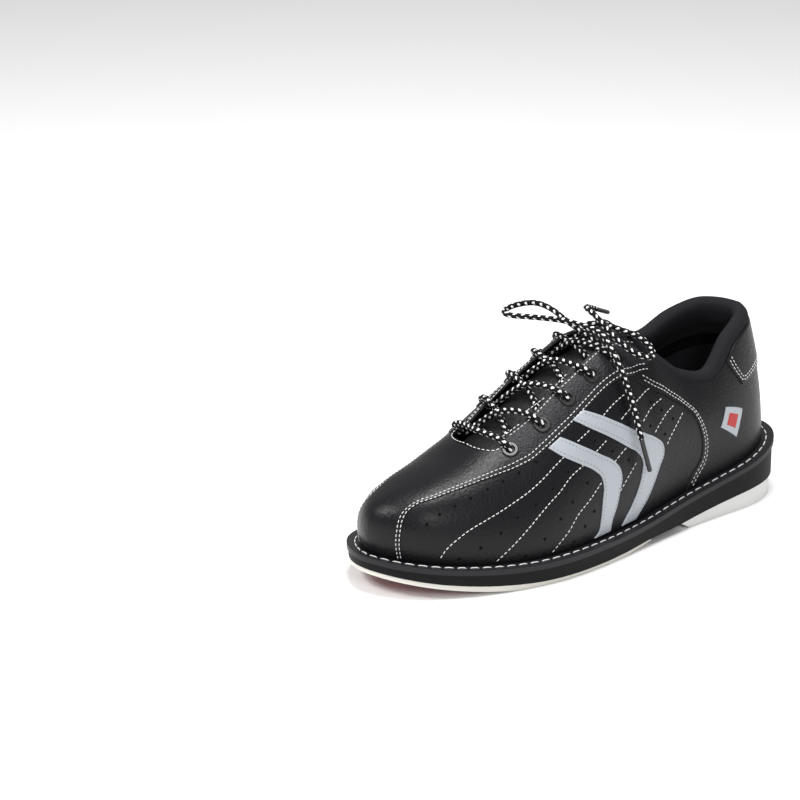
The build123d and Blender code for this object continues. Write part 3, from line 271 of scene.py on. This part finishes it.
# ---- materials -------------------------------------------------------------------
def material(name, color, rough, grain=0, grain_h=0.0, metallic=0.0, spec=0.5, vor=0, vor_h=0.0, var=0.0, coat=0.0, sheen=0.0):
    m = bpy.data.materials.new(name); m.use_nodes = True; nt = m.node_tree; b = nt.nodes["Principled BSDF"]
    b.inputs["Base Color"].default_value = (*color, 1); b.inputs["Roughness"].default_value = rough
    b.inputs["Metallic"].default_value = metallic; b.inputs["Specular IOR Level"].default_value = spec
    b.inputs["Coat Weight"].default_value = coat; b.inputs["Sheen Weight"].default_value = sheen
    tc = nt.nodes.new("ShaderNodeTexCoord"); last = None
    if grain:
        n = nt.nodes.new("ShaderNodeTexNoise"); n.inputs["Scale"].default_value = grain; n.inputs["Detail"].default_value = 3; n.inputs["Roughness"].default_value = .6
        nt.links.new(tc.outputs["Object"], n.inputs["Vector"])
        bp = nt.nodes.new("ShaderNodeBump"); bp.inputs["Strength"].default_value = 1.0; bp.inputs["Distance"].default_value = grain_h*MM
        nt.links.new(n.outputs["Fac"], bp.inputs["Height"]); last = bp
        if var:
            r = nt.nodes.new("ShaderNodeMapRange"); r.inputs["From Min"].default_value = .35; r.inputs["From Max"].default_value = .65
            r.inputs["To Min"].default_value = rough-var; r.inputs["To Max"].default_value = rough+var
            nt.links.new(n.outputs["Fac"], r.inputs["Value"]); nt.links.new(r.outputs["Result"], b.inputs["Roughness"])
    if vor:
        v = nt.nodes.new("ShaderNodeTexVoronoi"); v.feature = "SMOOTH_F1"; v.inputs["Scale"].default_value = vor
        nt.links.new(tc.outputs["Object"], v.inputs["Vector"])
        bp = nt.nodes.new("ShaderNodeBump"); bp.invert = True; bp.inputs["Strength"].default_value = 1.0; bp.inputs["Distance"].default_value = vor_h*MM
        nt.links.new(v.outputs["Distance"], bp.inputs["Height"])
        if last: nt.links.new(last.outputs["Normal"], bp.inputs["Normal"])
        last = bp
    if last: nt.links.new(last.outputs["Normal"], b.inputs["Normal"])
    return m
M_LEATHER = material("black_leather", (.0040, .0040, .0052), .37, grain=900, grain_h=.11, var=.06, vor=620, vor_h=.12, spec=.23)
M_TOE = M_LEATHER
M_GRAIN = material("grain_leather", (.0080, .0080, .0100), .47, grain=1300, grain_h=.14, vor=900, vor_h=.32, spec=.29)
M_FABRIC = material("black_fabric", (.016, .016, .0185), .92, grain=2600, grain_h=.3, spec=.10, sheen=.0)
M_TONGUE = material("tongue_leather", (.0055, .0055, .0065), .5, grain=1000, grain_h=.2, vor=700, vor_h=.25, spec=.25)
M_SILVER = material("silver_leather", (.375, .40, .435), .40, grain=700, grain_h=.05, spec=.5, metallic=.12)
M_RUBBER = material("black_rubber", (.0034, .0034, .0040), .6, grain=1500, grain_h=.08, spec=.16)
M_WELT = material("welt_rubber", (.0095, .0095, .0115), .5, grain=1500, grain_h=.08, spec=.3)
M_CREAM = material("cream_rubber", (.64, .625, .575), .55, grain=900, grain_h=.04)
M_RED = material("red_leather", (.20, .018, .018), .72, grain=1500, grain_h=.18)
M_REDP = material("red_patch", (.42, .012, .012), .45)
M_GUM = material("gum_rubber", (.60, .245, .035), .55, grain=1200, grain_h=.08)
def grooves(m):
    """groups of fine cross grooves, every 12 mm along the tread; their colour is darkened as painted shade inside the
    grooves
    """
    nt = m.node_tree; b = nt.nodes["Principled BSDF"]; tc = nt.nodes.new("ShaderNodeTexCoord"); sx = nt.nodes.new("ShaderNodeSeparateXYZ"); nt.links.new(tc.outputs["Object"], sx.inputs[0])
    def math_(op, a, v):
        n = nt.nodes.new("ShaderNodeMath"); n.operation = op
        for k, x in enumerate((a, v)):
            if x is None: continue
            if hasattr(x, "links"): nt.links.new(x, n.inputs[k])
            else: n.inputs[k].default_value = x
        return n.outputs[0]
    x = sx.outputs["X"]
    fine = math_("SINE", math_("MULTIPLY", x, 2*math.pi/.0019), None); wide = math_("SINE", math_("MULTIPLY", x, 2*math.pi/.0120), None)
    cut = math_("MULTIPLY", math_("GREATER_THAN", fine, .25), math_("GREATER_THAN", wide, -.25))
    cut = math_("MULTIPLY", cut, math_("GREATER_THAN", x, .004))
    bp = nt.nodes.new("ShaderNodeBump"); bp.invert = True; bp.inputs["Distance"].default_value = .0004; nt.links.new(cut, bp.inputs["Height"]); nt.links.new(bp.outputs["Normal"], b.inputs["Normal"])
    # painted shade: the gum colour is darkened inside the grooves, where shade falls
    painted_groove_shade = nt.nodes.new("ShaderNodeMix"); painted_groove_shade.data_type = "RGBA"; c = b.inputs["Base Color"].default_value[:]
    painted_groove_shade.inputs["A"].default_value = c; painted_groove_shade.inputs["B"].default_value = (c[0]*.72, c[1]*.66, c[2]*.6, 1); nt.links.new(cut, painted_groove_shade.inputs["Factor"]); nt.links.new(painted_groove_shade.outputs["Result"], b.inputs["Base Color"])
grooves(M_GUM)
M_WHITE = material("white_rubber", (.68, .68, .665), .42, grain=600, grain_h=.02)
M_BOARD = material("board", (.35, .28, .2), .8)
M_GLOSS = material("black_gloss", (.006, .006, .007), .26, spec=.42)
M_THREAD = material("white_thread", (.66, .66, .65), .7, grain=3000, grain_h=.05)
M_GREY = material("grey_thread", (.22, .23, .25), .7, grain=3000, grain_h=.05)
# perforation colour: the black lining seen through the holes plus painted shade inside them
M_PERFORATION_SHADE = material("perforation", (.003, .003, .003), .9, spec=.1)
M_LACE = material("lace_black", (.005, .005, .007), .8, grain=2200, grain_h=.2, spec=.15)
M_LACEW = material("lace_white", (.80, .80, .78), .75, grain=2200, grain_h=.2)
M_AGLET = material("aglet_black", (.012, .012, .013), .3)

# ---- CAD nodes that keep their own shape ----------------------------------------------
CAD = {"welt": M_WELT, "midsole": M_RUBBER, "outsole_layer": M_CREAM, "toe_pad": M_RED, "forefoot_outsole": M_GUM, "heel_block": M_WHITE,
       "insole_board": M_BOARD, "footbed": M_FABRIC, "eyelets": M_GLOSS, "vamp_lining": M_FABRIC, "quarter_lining_lateral": M_FABRIC,
       "quarter_lining_medial": M_FABRIC, "aglet_a": M_AGLET, "aglet_b": M_AGLET}
for n, m in CAD.items():
    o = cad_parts[n]; o.data.materials.clear(); o.data.materials.append(m)

# ---- cords -------------------------------------------------------------------------------
def cord_path(name, pts):
    c = bpy.data.curves.new(name+"_route", "CURVE"); c.dimensions = "3D"
    sp = c.splines.new("NURBS"); sp.points.add(len(pts)-1)
    for p, q in zip(sp.points, pts): p.co = (q[0]*MM, q[1]*MM, q[2]*MM, 1)
    sp.order_u = 3; sp.use_endpoint_u = True; c.resolution_u = 10
    o = bpy.data.objects.new(name+"_route", c); bpy.context.scene.collection.objects.link(o)
    bpy.context.view_layer.update()
    me = bpy.data.meshes.new_from_object(o.evaluated_get(bpy.context.evaluated_depsgraph_get()))
    P = np.array([v.co[:] for v in me.vertices])/MM
    bpy.data.objects.remove(o); bpy.data.meshes.remove(me)
    d = np.r_[0, np.cumsum(np.linalg.norm(np.diff(P, axis=0), axis=1))]
    k = np.r_[True, np.diff(d) > 1e-6]; P, d = P[k], d[k]
    n = int(d[-1]/.42); t = np.linspace(0, d[-1], n)
    return np.stack([np.interp(t, d, P[:, i]) for i in range(3)], 1), d[-1]

def lace(name, pts, dia):
    """braided round lace: four columns of slanted white flecks in a black braid"""
    C, L = cord_path(name, pts); n = len(C); K = 20; step = L/(n-1); pitch = 4.6
    T = np.gradient(C, axis=0); T /= np.linalg.norm(T, axis=1)[:, None]
    U = np.cross(T[0], [0, 0, 1.0]); U /= np.linalg.norm(U); V = []; MI = []; F = []
    th = np.arange(K)*2*math.pi/K
    def white(u, j):
        c, k = divmod(j % K, 5)
        return k in (1, 2, 3) and ((u/pitch+.5*(c % 2)+.07*(k-2)*(1 if c % 2 else -1)) % 1.0) < (.36 if k == 2 else .28)
    for i in range(n):
        U = U-T[i]*np.dot(U, T[i]); U /= np.linalg.norm(U); W = np.cross(T[i], U); u = i*step
        r = np.array([dia/2*(1+(.05 if white(u, j) else -.015)+.02*math.sin(2*math.pi*u/1.2+j*2*math.pi*2/K)) for j in range(K)])
        V += list(C[i]+np.outer(r*np.cos(th), U)+np.outer(r*np.sin(th), W))
    for i in range(n-1):
        for j in range(K):
            F.append((i*K+j, i*K+(j+1) % K, (i+1)*K+(j+1) % K, (i+1)*K+j)); MI.append(1 if white((i+.5)*step, j) else 0)
    F.append(tuple(range(K))[::-1]); F.append(tuple((n-1)*K+j for j in range(K))); MI += [0, 0]
    o = mesh_object(name, V, F, [M_LACE, M_LACEW], mat_idx=MI, sharp=0)
    return o, C, L
la, CA, LA = lace("lace_braid_a", LACE_A, LACE_D)
lb, CB, LB = lace("lace_braid_b", LACE_B, LACE_D)
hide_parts("lace_a"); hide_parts("lace_b")

# ---- stitching ---------------------------------------------------------------------------
class Bag:
    def __init__(s): s.V = []; s.F = []
    def add(s, V, F):
        k = len(s.V); s.V += list(V); s.F += [tuple(a+k for a in f) for f in F]
    def make(s, name, mat): return mesh_object(name, s.V, s.F, [mat], sharp=0)
def stitch(bag, a, b, n, r, lift=.25):
    """one stitch from a to b: a thread that dips at both ends"""
    d = b-a; L = np.linalg.norm(d); d = d/L; w = np.cross(n, d); w /= np.linalg.norm(w); n = np.cross(d, w)
    ts = [0, .08, .25, .5, .75, .92, 1]; rr = [.35, .75, 1, 1, 1, .75, .35]; hh = [-.9, -.15, .35, .5, .35, -.15, -.9]
    V = []; K = 6
    for t, q, h in zip(ts, rr, hh):
        c = a+d*L*t+n*(h*r+lift-.25)
        for j in range(K):
            x = 2*math.pi*j/K; V.append(c+w*(r*q*math.cos(x))+n*(r*q*math.sin(x)*.8))
    F = [(i*K+j, i*K+(j+1) % K, (i+1)*K+(j+1) % K, (i+1)*K+j) for i in range(len(ts)-1) for j in range(K)]
    F += [tuple(range(K))[::-1], tuple((len(ts)-1)*K+j for j in range(K))]
    bag.add(V, F)
def run_stitches(bag, P, N, pitch=2.9, gap=.75, r=.33):
    d = np.r_[0, np.cumsum(np.linalg.norm(np.diff(P, axis=0), axis=1))]
    k = max(1, int(round(d[-1]/pitch))); p = d[-1]/k
    f = lambda t, A: np.array([np.interp(t, d, A[:, i]) for i in range(3)])
    for i in range(k):
        a, b = i*p+gap/2, (i+1)*p-gap/2
        nn = f((a+b)/2, N); stitch(bag, f(a, P), f(b, P), nn/np.linalg.norm(nn), r)
def offset_line(c, off_mm, ks=360.0, kv=75.0):
    """the (s, v) line moved sideways by millimetres (+ to its left)"""
    c = np.array(c); t = np.gradient(c, axis=0)*[ks, kv]; t /= np.linalg.norm(t, axis=1)[:, None]
    return c+np.stack([-t[:, 1]/ks, t[:, 0]/kv], 1)*off_mm
def seam(bag, pts, off, side=0.0, mirror=False, pitch=2.9, gap=.8, r=.28, n=160):
    c = resample(pts, n) if len(pts) > 1 else pts
    if side: c = offset_line(c, side)
    s, v = c[:, 0]*(-1 if mirror else 1), np.clip(c[:, 1], .004, .999)
    run_stitches(bag, skin(s, v, off), normal(s, v), pitch, gap, r)

OFF = {"vamp": .42, "side": -.15, "quarter": .45, "eyestay": .42, "tab": 1.45, "chev": .55}
LAP = 3.0
for nm, mi in (("lateral", False), ("medial", True)):
    # side panel, running under the eyestay and the quarter
    left = resample(VAMP_FRONT, 60)
    tp = [tuple(left[-1])] + VAMP_TOP[1:12] + shift(VAMP_TOP[12:22], .002, .03) + [(.58, .79)] + shift(QUARTER[1:5], .006, .02) + [(.712, .775)]
    top_ = resample(tp, 120)
    right = resample([(.697, 0.001)] + shift(QUARTER[6:-1][::-1], .008, 0) + [tuple(top_[-1])], 60)
    left[0, 1] = .001; bottom = resample([tuple(left[0]), tuple(right[0])], 120)
    left[-1], right[0], left[0] = top_[0], bottom[-1], bottom[0]
    o = orient("side_panel_leather_"+nm, coons(bottom, top_, left, right), OFF["side"], 1.5, M_LEATHER, mi, 34, 110, 55, 260, ("bottom",))
    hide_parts("side_panel_"+nm)
    # quarter, lapped over the side panel
    Q = offset_line(resample(QUARTER, 120), -4.4)
    Q = Q[::-1]; left = np.vstack([[Q[0, 0], .001], Q[1:]]); left = resample([tuple(p) for p in left[::3]]+[(.5735, .792)], 80)
    tp = [tuple(left[-1]), (.590, .815), (.607, .848), (.6235, .90)] + [(q, v+.012) for q, v in LIP[1:]]
    top_ = resample(tp, 110); top_[-1, 0] = 1.0; bottom = resample([tuple(left[0]), (1.0, .001)], 110); right = resample([tuple(bottom[-1]), tuple(top_[-1])], 80)
    o = orient("quarter_leather_"+nm, coons(bottom, top_, left, right), OFF["quarter"], 1.9, M_LEATHER, mi, 44, 80, 60, 160, ("bottom", "right"))
    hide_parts("quarter_"+nm)
    # eyestay
    bottom = offset_line(resample([(.2955, .6365)] + VAMP_TOP[11:25] + [(.6245, .905)], 120), -LAP)
    bottom = resample([tuple(p) for p in bottom[::4]], 90)
    top_ = resample([(.2915, .80)] + THROAT_EDGE[2:], 90)
    left = resample([tuple(bottom[0]), (.2935, .70), tuple(top_[0])], 30); right = resample([tuple(bottom[-1]), tuple(top_[-1])], 30)
    o = orient("eyestay_leather_"+nm, coons(bottom, top_, left, right), OFF["eyestay"], 1.7, M_GRAIN, mi, 16, 90, 14, 110)
    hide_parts("eyestay_"+nm)
    # chevrons
    for tag, a, b in (("front", CH1_OUT, CH1_IN), ("rear", CH2_OUT, CH2_IN)):
        A, B = resample(a, 90), resample(b, 90)
        g = np.stack([A*(1-t)+B*t for t in np.linspace(0, 1, 12)], 0)
        o = orient("chevron_leather_%s_%s" % (tag, nm), g, OFF["chev"]+.1, .9, M_SILVER, mi, 10, 70, 11, 95)
        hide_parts("chevron_%s_%s" % (tag, nm))

# vamp, laid out in plan because it crosses the ridge
def plan_line(pts, n):
    a = np.array([sv_to_plan(p[0], p[1]) for p in pts]); d = np.r_[0, np.cumsum(np.linalg.norm(np.diff(a, axis=0), axis=1))]; t = np.linspace(0, d[-1], n)
    return np.stack([np.interp(t, d, a[:, 0]), np.interp(t, d, a[:, 1])], 1)
sm = offset_line(resample([(.0640, .002)] + VAMP_FRONT[1:] + VAMP_TOP[1:12], 160), -LAP); sm[0, 1] = .002; sm = sm[:-6]
lat, med = plan_line(sm, 70), plan_line([(-s, v) for s, v in sm], 70)
front = plan_line([(s, .002) for s in np.linspace(sm[0][0], -sm[0][0], 15)], 61)
rh = resample([tuple(sm[-1]), (.3005, .70), (.2955, .772), (.2697, .799), (.2493, .867), (.2362, .941), (.2350, .9995)], 60)
rp = np.array([sv_to_plan(s, v) for s, v in rh] + [sv_to_plan(-s, v) for s, v in rh[::-1][1:]])
d = np.r_[0, np.cumsum(np.linalg.norm(np.diff(rp, axis=0), axis=1))]; t = np.linspace(0, d[-1], 61)
rear = np.stack([np.interp(t, d, rp[:, 0]), np.interp(t, d, rp[:, 1])], 1)
lat[0], lat[-1], med[0], med[-1] = front[0], rear[0], front[-1], rear[-1]
g = refine(coons(front, rear, lat, med), 60, 60, 90, 50)
s_, v_ = plan_to_sv(g[..., 0], g[..., 1]); v_ = np.maximum(v_, .001)
dd = rim(g.shape[0], g.shape[1], .7, ("bottom",))
o_, i_ = skin(s_, v_, OFF["vamp"]-dd), skin(s_, v_, OFF["vamp"]-1.3)
c = (g.shape[0]//2, g.shape[1]//2)
fl = np.cross(o_[c[0], c[1]+1]-o_[c], o_[c[0]+1, c[1]]-o_[c])[2] < 0
o = shell("vamp_leather", o_, i_, M_TOE, fl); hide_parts("vamp")

# heel tab
def wrap(front_s, low, high, n=40, m=30):
    g = []
    for k in range(2*n+1):
        t = abs(k-n)/n; row = []
        for j in range(m):
            w = j/(m-1); ss = 1-(1-front_s(w))*t; a, b = low(ss), high(ss)
            row.append((ss if k <= n else -ss, a+(b-a)*w))
        g.append(row)
    return np.array(g)
tab_hi = lambda s: float(np.interp(s, [.84, .862, .88, 1.0], [.900, .92, .932, .947]))
tab_lo = lambda s: float(catmull([.84]+[p[0] for p in TAB_EDGE[2:]], [.615]+[p[1] for p in TAB_EDGE[2:]], s))-.024
G = wrap(lambda w: .8545-.018*w, tab_lo, tab_hi)
g = G.transpose(1, 0, 2)
n1 = g.shape[1]//2+1
half = g[:, :n1]
r1 = refine(half, 20, 40, 25, 50)
full = np.concatenate([r1[:, :-4], np.stack([r1[:, -1]], 1), (r1[:, :-4]*np.array([-1, 1]))[:, ::-1]], 1)
dd = rim(full.shape[0], full.shape[1], .8)
sg = full[..., 0]; vg = np.clip(full[..., 1], 0, 1)
o_, i_ = skin(sg, vg, OFF["tab"]-dd), skin(sg, vg, OFF["tab"]-1.5)
o = shell("heel_tab_leather", o_, i_, M_LEATHER, True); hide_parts("heel_tab")

# emblem: a plain diamond patch
f, t_, r, b = [np.array(p) for p in EMBLEM]
u = np.linspace(0, 1, 30)[:, None, None]; w = np.linspace(0, 1, 30)[None, :, None]
o = orient("emblem_patch", (1-u)*(1-w)*f+u*(1-w)*t_+(1-u)*w*b+u*w*r, 1.15, .7, M_SILVER, False, 14, 14, 18, 18)
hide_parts("emblem")
ctr = (f+t_+r+b)/4; f2, t2, r2, b2 = [ctr+(p-ctr)*.52 for p in (f, t_, r, b)]
o = orient("emblem_inlay", (1-u)*(1-w)*f2+u*(1-w)*t2+(1-u)*w*b2+u*w*r2, 1.5, .6, M_REDP, False, 10, 10, 10, 10)

# padded collar
LIPV = [(.604, .990), (.614, .950)]+LIP
qs = np.r_[np.linspace(.608, 1.0, 120), -np.linspace(.608, 1.0, 120)[::-1][1:]]
ones = np.ones_like(qs); ptop = surf(qs, ones); ntop = normal(qs, ones)
utop = ptop-surf(qs, ones*.97); Hs = np.linalg.norm(utop, axis=-1)/.03; utop = utop/np.linalg.norm(utop, axis=-1)[:, None]
AB, BB = [], []
for q, H in zip(np.abs(qs), Hs):
    vl = float(np.interp(q, [p[0] for p in LIPV], [p[1] for p in LIPV])); bl = (vl-1)*H
    t = COLLAR_T*float(np.interp(q, [.606, .632, .66, .72, 1.0], [.36, .50, .66, 1.0, 1.0]))
    ctl = np.array([(.6, bl-1.0), (-.45, bl+.2), (-1.05, bl*.45), (-.75, .3), (.07*t, 1.7), (.32*t, 2.7), (.6*t, 2.5), (.86*t, 1.1), (t, -1.8), (t*1.03, -6), (t*.93, -12), (t*.68, -18), (t*.42+.8, -23)])
    d = np.r_[0, np.cumsum(np.linalg.norm(np.diff(ctl, axis=0), axis=1))]; z = np.linspace(0, d[-1], 40)
    AB.append(np.stack([catmull(d, ctl[:, j], z) for j in (0, 1)], 1)); BB.append([(2.2, bl+(-23.6-bl)*j/39.0) for j in range(40)])
def lay(ab):
    ab = np.array(ab); A, B = ab[..., 0], ab[..., 1]
    Q = np.repeat(qs[:, None], 40, 1); low = skin(Q, np.clip(1+np.minimum(B, 0)/Hs[:, None], 0, 1), -A)
    high = ptop[:, None]-ntop[:, None]*A[..., None]+utop[:, None]*B[..., None]
    return np.where((B <= 0)[..., None], low, high)
o = shell("collar_padding", lay(AB), lay(BB), M_FABRIC, False)
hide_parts("collar_lateral", "collar_medial")

# tongue
def tongue_grid(rows, cols):
    xs = np.linspace(TX[0], TX[-1], rows); X = np.array(TX[::-1], float)
    zc = catmull(X, np.array(TZC[::-1]), xs); kk = catmull(X, np.array(TK[::-1]), xs); ww = catmull(X, np.array(TW[::-1], float), xs)
    sl = np.gradient(zc, xs); y = np.linspace(-1, 1, cols)
    o = np.zeros((rows, cols, 3)); i = np.zeros_like(o)
    for r in range(rows):
        for c_ in range(cols):
            e = abs(y[c_]); Y = y[c_]*ww[r]; nn = np.array([-sl[r], 2*kk[r]*Y, 1.0]); nn /= np.linalg.norm(nn)
            P = np.array([xs[r], Y, zc[r]-kk[r]*Y*Y]); edge = 1.6*max(0, (e-.86)/.14)**2 + 1.8*max(0, (-22.5-xs[r])/3.5)**2
            o[r, c_] = P-nn*edge; i[r, c_] = P-nn*(TONGUE_T*(1-.55*e**3))
    return o, i
o_, i_ = tongue_grid(120, 41)
o = shell("tongue_padded", o_, i_, M_TONGUE, False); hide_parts("tongue")

# ---- all stitch lines ------------------------------------------------------------------------
white = Bag(); grey = Bag(); holes = Bag(); rims = Bag()
LA_ = [(.1389,.052),(.1501,.133),(.166,.203),(.1881,.2735),(.2152,.3236),(.2445,.363),(.2769,.40),(.3109,.43),(.3463,.462),(.3713,.486),(.3967,.502)]
LB_ = [(.2372,.0225),(.2616,.104),(.29,.192),(.322,.273),(.3449,.315),(.3685,.346),(.3948,.387),(.432,.408)]
LC_ = [(.3443,.02),(.3603,.068),(.3822,.124),(.3988,.178),(.431,.231),(.4622,.284)]
SEG = [((.4284,.526),(.4603,.538)),((.4601,.429),(.4876,.449)),((.4941,.336),(.5252,.376)),((.4922,.558),(.5395,.611)),((.5214,.501),(.5445,.540)),
       ((.5579,.572),(.6001,.680)),((.5667,.477),(.6232,.656)),((.5948,.424),(.6531,.669)),((.624,.355),(.6781,.6525)),((.5036,.195),(.5459,.293))]
EYESEG = [((.297,.838),(.3505,.8216)),((.3676,.8585),(.417,.836)),((.436,.844),(.4739,.858))]
# each perforation is a dark disc set on the leather, not a cut hole; its near-black colour is the black lining seen
# through the hole plus painted shade inside it
def dot(s, v, mi, off, r=.85):
    S = np.array(-s if mi else s); V = np.array(v); p = skin(S, V, off); n = normal(S, V); a = np.cross(n, [0, 0, 1.0]); a /= np.linalg.norm(a); b = np.cross(n, a); K = 12
    c = [p+n*.05+r*(math.cos(2*math.pi*j/K)*a+math.sin(2*math.pi*j/K)*b) for j in range(K)]
    low = [q-n*.40 for q in [p+n*.05]+c]; J = [(j, (j+1) % K) for j in range(K)]
    holes.add([p+n*.05]+c+low, [(0, 1+j, 1+k) for j, k in J]+[(K+1, K+2+k, K+2+j) for j, k in J]+[(1+j, K+2+j, K+2+k, 1+k) for j, k in J])
    R = []
    for q, h in ((r*.98, .03), (r*1.12, .13), (r*1.35, .0)): R += [p+n*h+q*(math.cos(2*math.pi*j/K)*a+math.sin(2*math.pi*j/K)*b) for j in range(K)]
    rims.add(R, [(i*K+j, (i+1) % 3*K+j, (i+1) % 3*K+k, i*K+k) for i in range(3) for j, k in J])
ROWS = [[(.1085,.335),(.128,.43),(.157,.49),(.190,.525),(.226,.548),(.262,.56),(.300,.565),(.340,.567)],
        [(.172,.055),(.209,.132),(.2446,.221),(.2787,.296),(.3171,.338),(.3558,.38),(.3936,.4205)],
        [(.2921,.039),(.3288,.122),(.3634,.204),(.3927,.264),(.430,.318)],
        [(.392,.045),(.418,.108),(.440,.165)],
        [(.464,.479),(.4948,.389),(.527,.316)], [(.5242,.539)], [(.6166,.682),(.5942,.595),(.5858,.462)], [(.6166,.572),(.6194,.422)], [(.6433,.545)]]
for mi in (False, True):
    full = VAMP_FRONT[1:]+VAMP_TOP[1:]
    for sd in (0.0, 2.1):
        seam(white, [(.0640, .012)]+full[:-1], OFF["vamp"], -sd, mi, 2.7, .85, .25, 420)
    for sd in (-2.1, 0.0):
        seam(white, QUARTER[1:-1]+[(.697, .012)], OFF["quarter"], sd, mi, 2.7, .8, .26, 260)
    seam(white, LA_, OFF["side"], 0, mi); seam(white, LB_, OFF["side"], 0, mi); seam(white, LC_, OFF["side"], 0, mi)
    for a, b in SEG: seam(white, [a, b], OFF["side"], 0, mi)
    for a, b in EYESEG: seam(white, [a, b], OFF["eyestay"], 0, mi, 2.6, .8, .28, 30)
    seam(white, THROAT_EDGE[2:], OFF["eyestay"], -1.6, mi, 2.7, .9, .26, 200)
    seam(white, [(.2985,.775)]+[(.276,.786),(.2545,.850),(.2418,.935),(.2405,.995)], OFF["vamp"], 0, mi, 2.7, .8, .28, 80)
    for a, b in ((CH1_OUT, CH1_IN), (CH2_OUT, CH2_IN)):
        seam(grey, a[:-1], OFF["chev"]+.1, -1.3, mi, 2.3, 1.25, .24, 160); seam(grey, b[:-1], OFF["chev"]+.1, 1.3, mi, 2.3, 1.25, .24, 160)
    for sd in (.4, 2.4):
        seam(white, [(.8420,.880),(.8465,.78),(.8515,.69),(.8570,.618),(.8640,.598),(.88,.588),(.915,.590),(.96,.618),(.9995,.636)], OFF["tab"], sd, mi, 2.7, .8, .27, 160)
    for row in ROWS:
        for s_, v_ in row: dot(s_, v_, mi, OFF["side"])
o = white.make("stitching_white", M_THREAD)
o = grey.make("stitching_chevrons", M_GREY)
# perforation discs carry painted shade of the hole interiors
o = holes.make("perforations", M_PERFORATION_SHADE)
o = rims.make("perforation_rims", M_LEATHER)

# welt stitch: thick white thread, inset from the edge
wl = Bag(); sN = 900; ss = np.linspace(-1, 1, sN+1); pp, _ = outline(ss, 4.6)
zz = np.array([float(catmull([-170]+ZTX+[170], [41.2]+ZTZ+[25.0], p[0])) for p in pp])
P = np.column_stack([pp, zz+.05]); N = np.tile([0, 0, 1.0], (len(P), 1))
run_stitches(wl, P, N, 7.3, 1.6, .40)
o = wl.make("welt_stitching", M_THREAD)
# toe pad stitch, underneath
tp = Bag(); SOLEX = [-40,-30,-22,-10,2,12,78,90,100,110,130,150,160]; SOLEZ = [4.6,3.6,2.9,1.5,.35,0,0,.9,2.1,3.7,7.4,11.8,14.2]
ss = np.linspace(-.24, .24, 400); pp, _ = outline(ss, 11.5); k = pp[:, 0] > 95.5; pp = pp[k]
P = np.column_stack([pp, pchip(SOLEX, SOLEZ, pp[:, 0])-.0]); N = np.tile([0, 0, -1.0], (len(P), 1))
run_stitches(tp, P, N, 6.6, 1.6, .5)
o = tp.make("toe_pad_stitching", M_THREAD)

# ---- camera, light, floor ------------------------------------------------------------------
a, e, D = math.radians(39.707), math.radians(18.954), 1.768
back = Vector((math.sin(a)*math.cos(e), math.cos(a)*math.cos(e), math.sin(e))); right = Vector((-math.cos(a), math.sin(a), 0)); up = back.cross(right)
cam = bpy.data.cameras.new("camera"); cam.lens = 137.48; cam.sensor_width = 36; cam.clip_end = 50
co = bpy.data.objects.new("camera", cam); bpy.context.scene.collection.objects.link(co)
R = Matrix((right, up, back)).transposed().to_4x4(); R.translation = Vector((1.1272, 1.2055, .6459)); co.matrix_world = R
bpy.context.scene.camera = co
fm = bpy.data.meshes.new("floor"); fm.from_pydata([(-6, -6, 0), (6, -6, 0), (6, 6, 0), (-6, 6, 0)], [], [(0, 1, 2, 3)])
floor = bpy.data.objects.new("floor", fm); bpy.context.scene.collection.objects.link(floor)
fm.materials.append(material("floor", (.93, .93, .93), .9, spec=.1))
w = bpy.data.worlds.new("studio"); bpy.context.scene.world = w; w.use_nodes = True
w.node_tree.nodes["Background"].inputs["Color"].default_value = (1, 1, 1, 1); w.node_tree.nodes["Background"].inputs["Strength"].default_value = .44
def area(name, loc, target, size, power):
    l = bpy.data.lights.new(name, "AREA"); l.shape = "DISK"; l.size = size; l.energy = power
    o = bpy.data.objects.new(name, l); bpy.context.scene.collection.objects.link(o)
    o.matrix_world = (Vector(loc)-Vector(target)).to_track_quat("Z", "Y").to_matrix().to_4x4(); o.location = Vector(loc)
area("key", (1.2, -.3, 1.2), (0, 0, .05), .55, 15)
area("fill", (.62, 1.30, .82), (.08, 0, .05), .42, 5.5)
area("top", (.0, .1, 1.6), (0, 0, .05), .7, 24)
bpy.context.scene.view_settings.view_transform = "Standard"
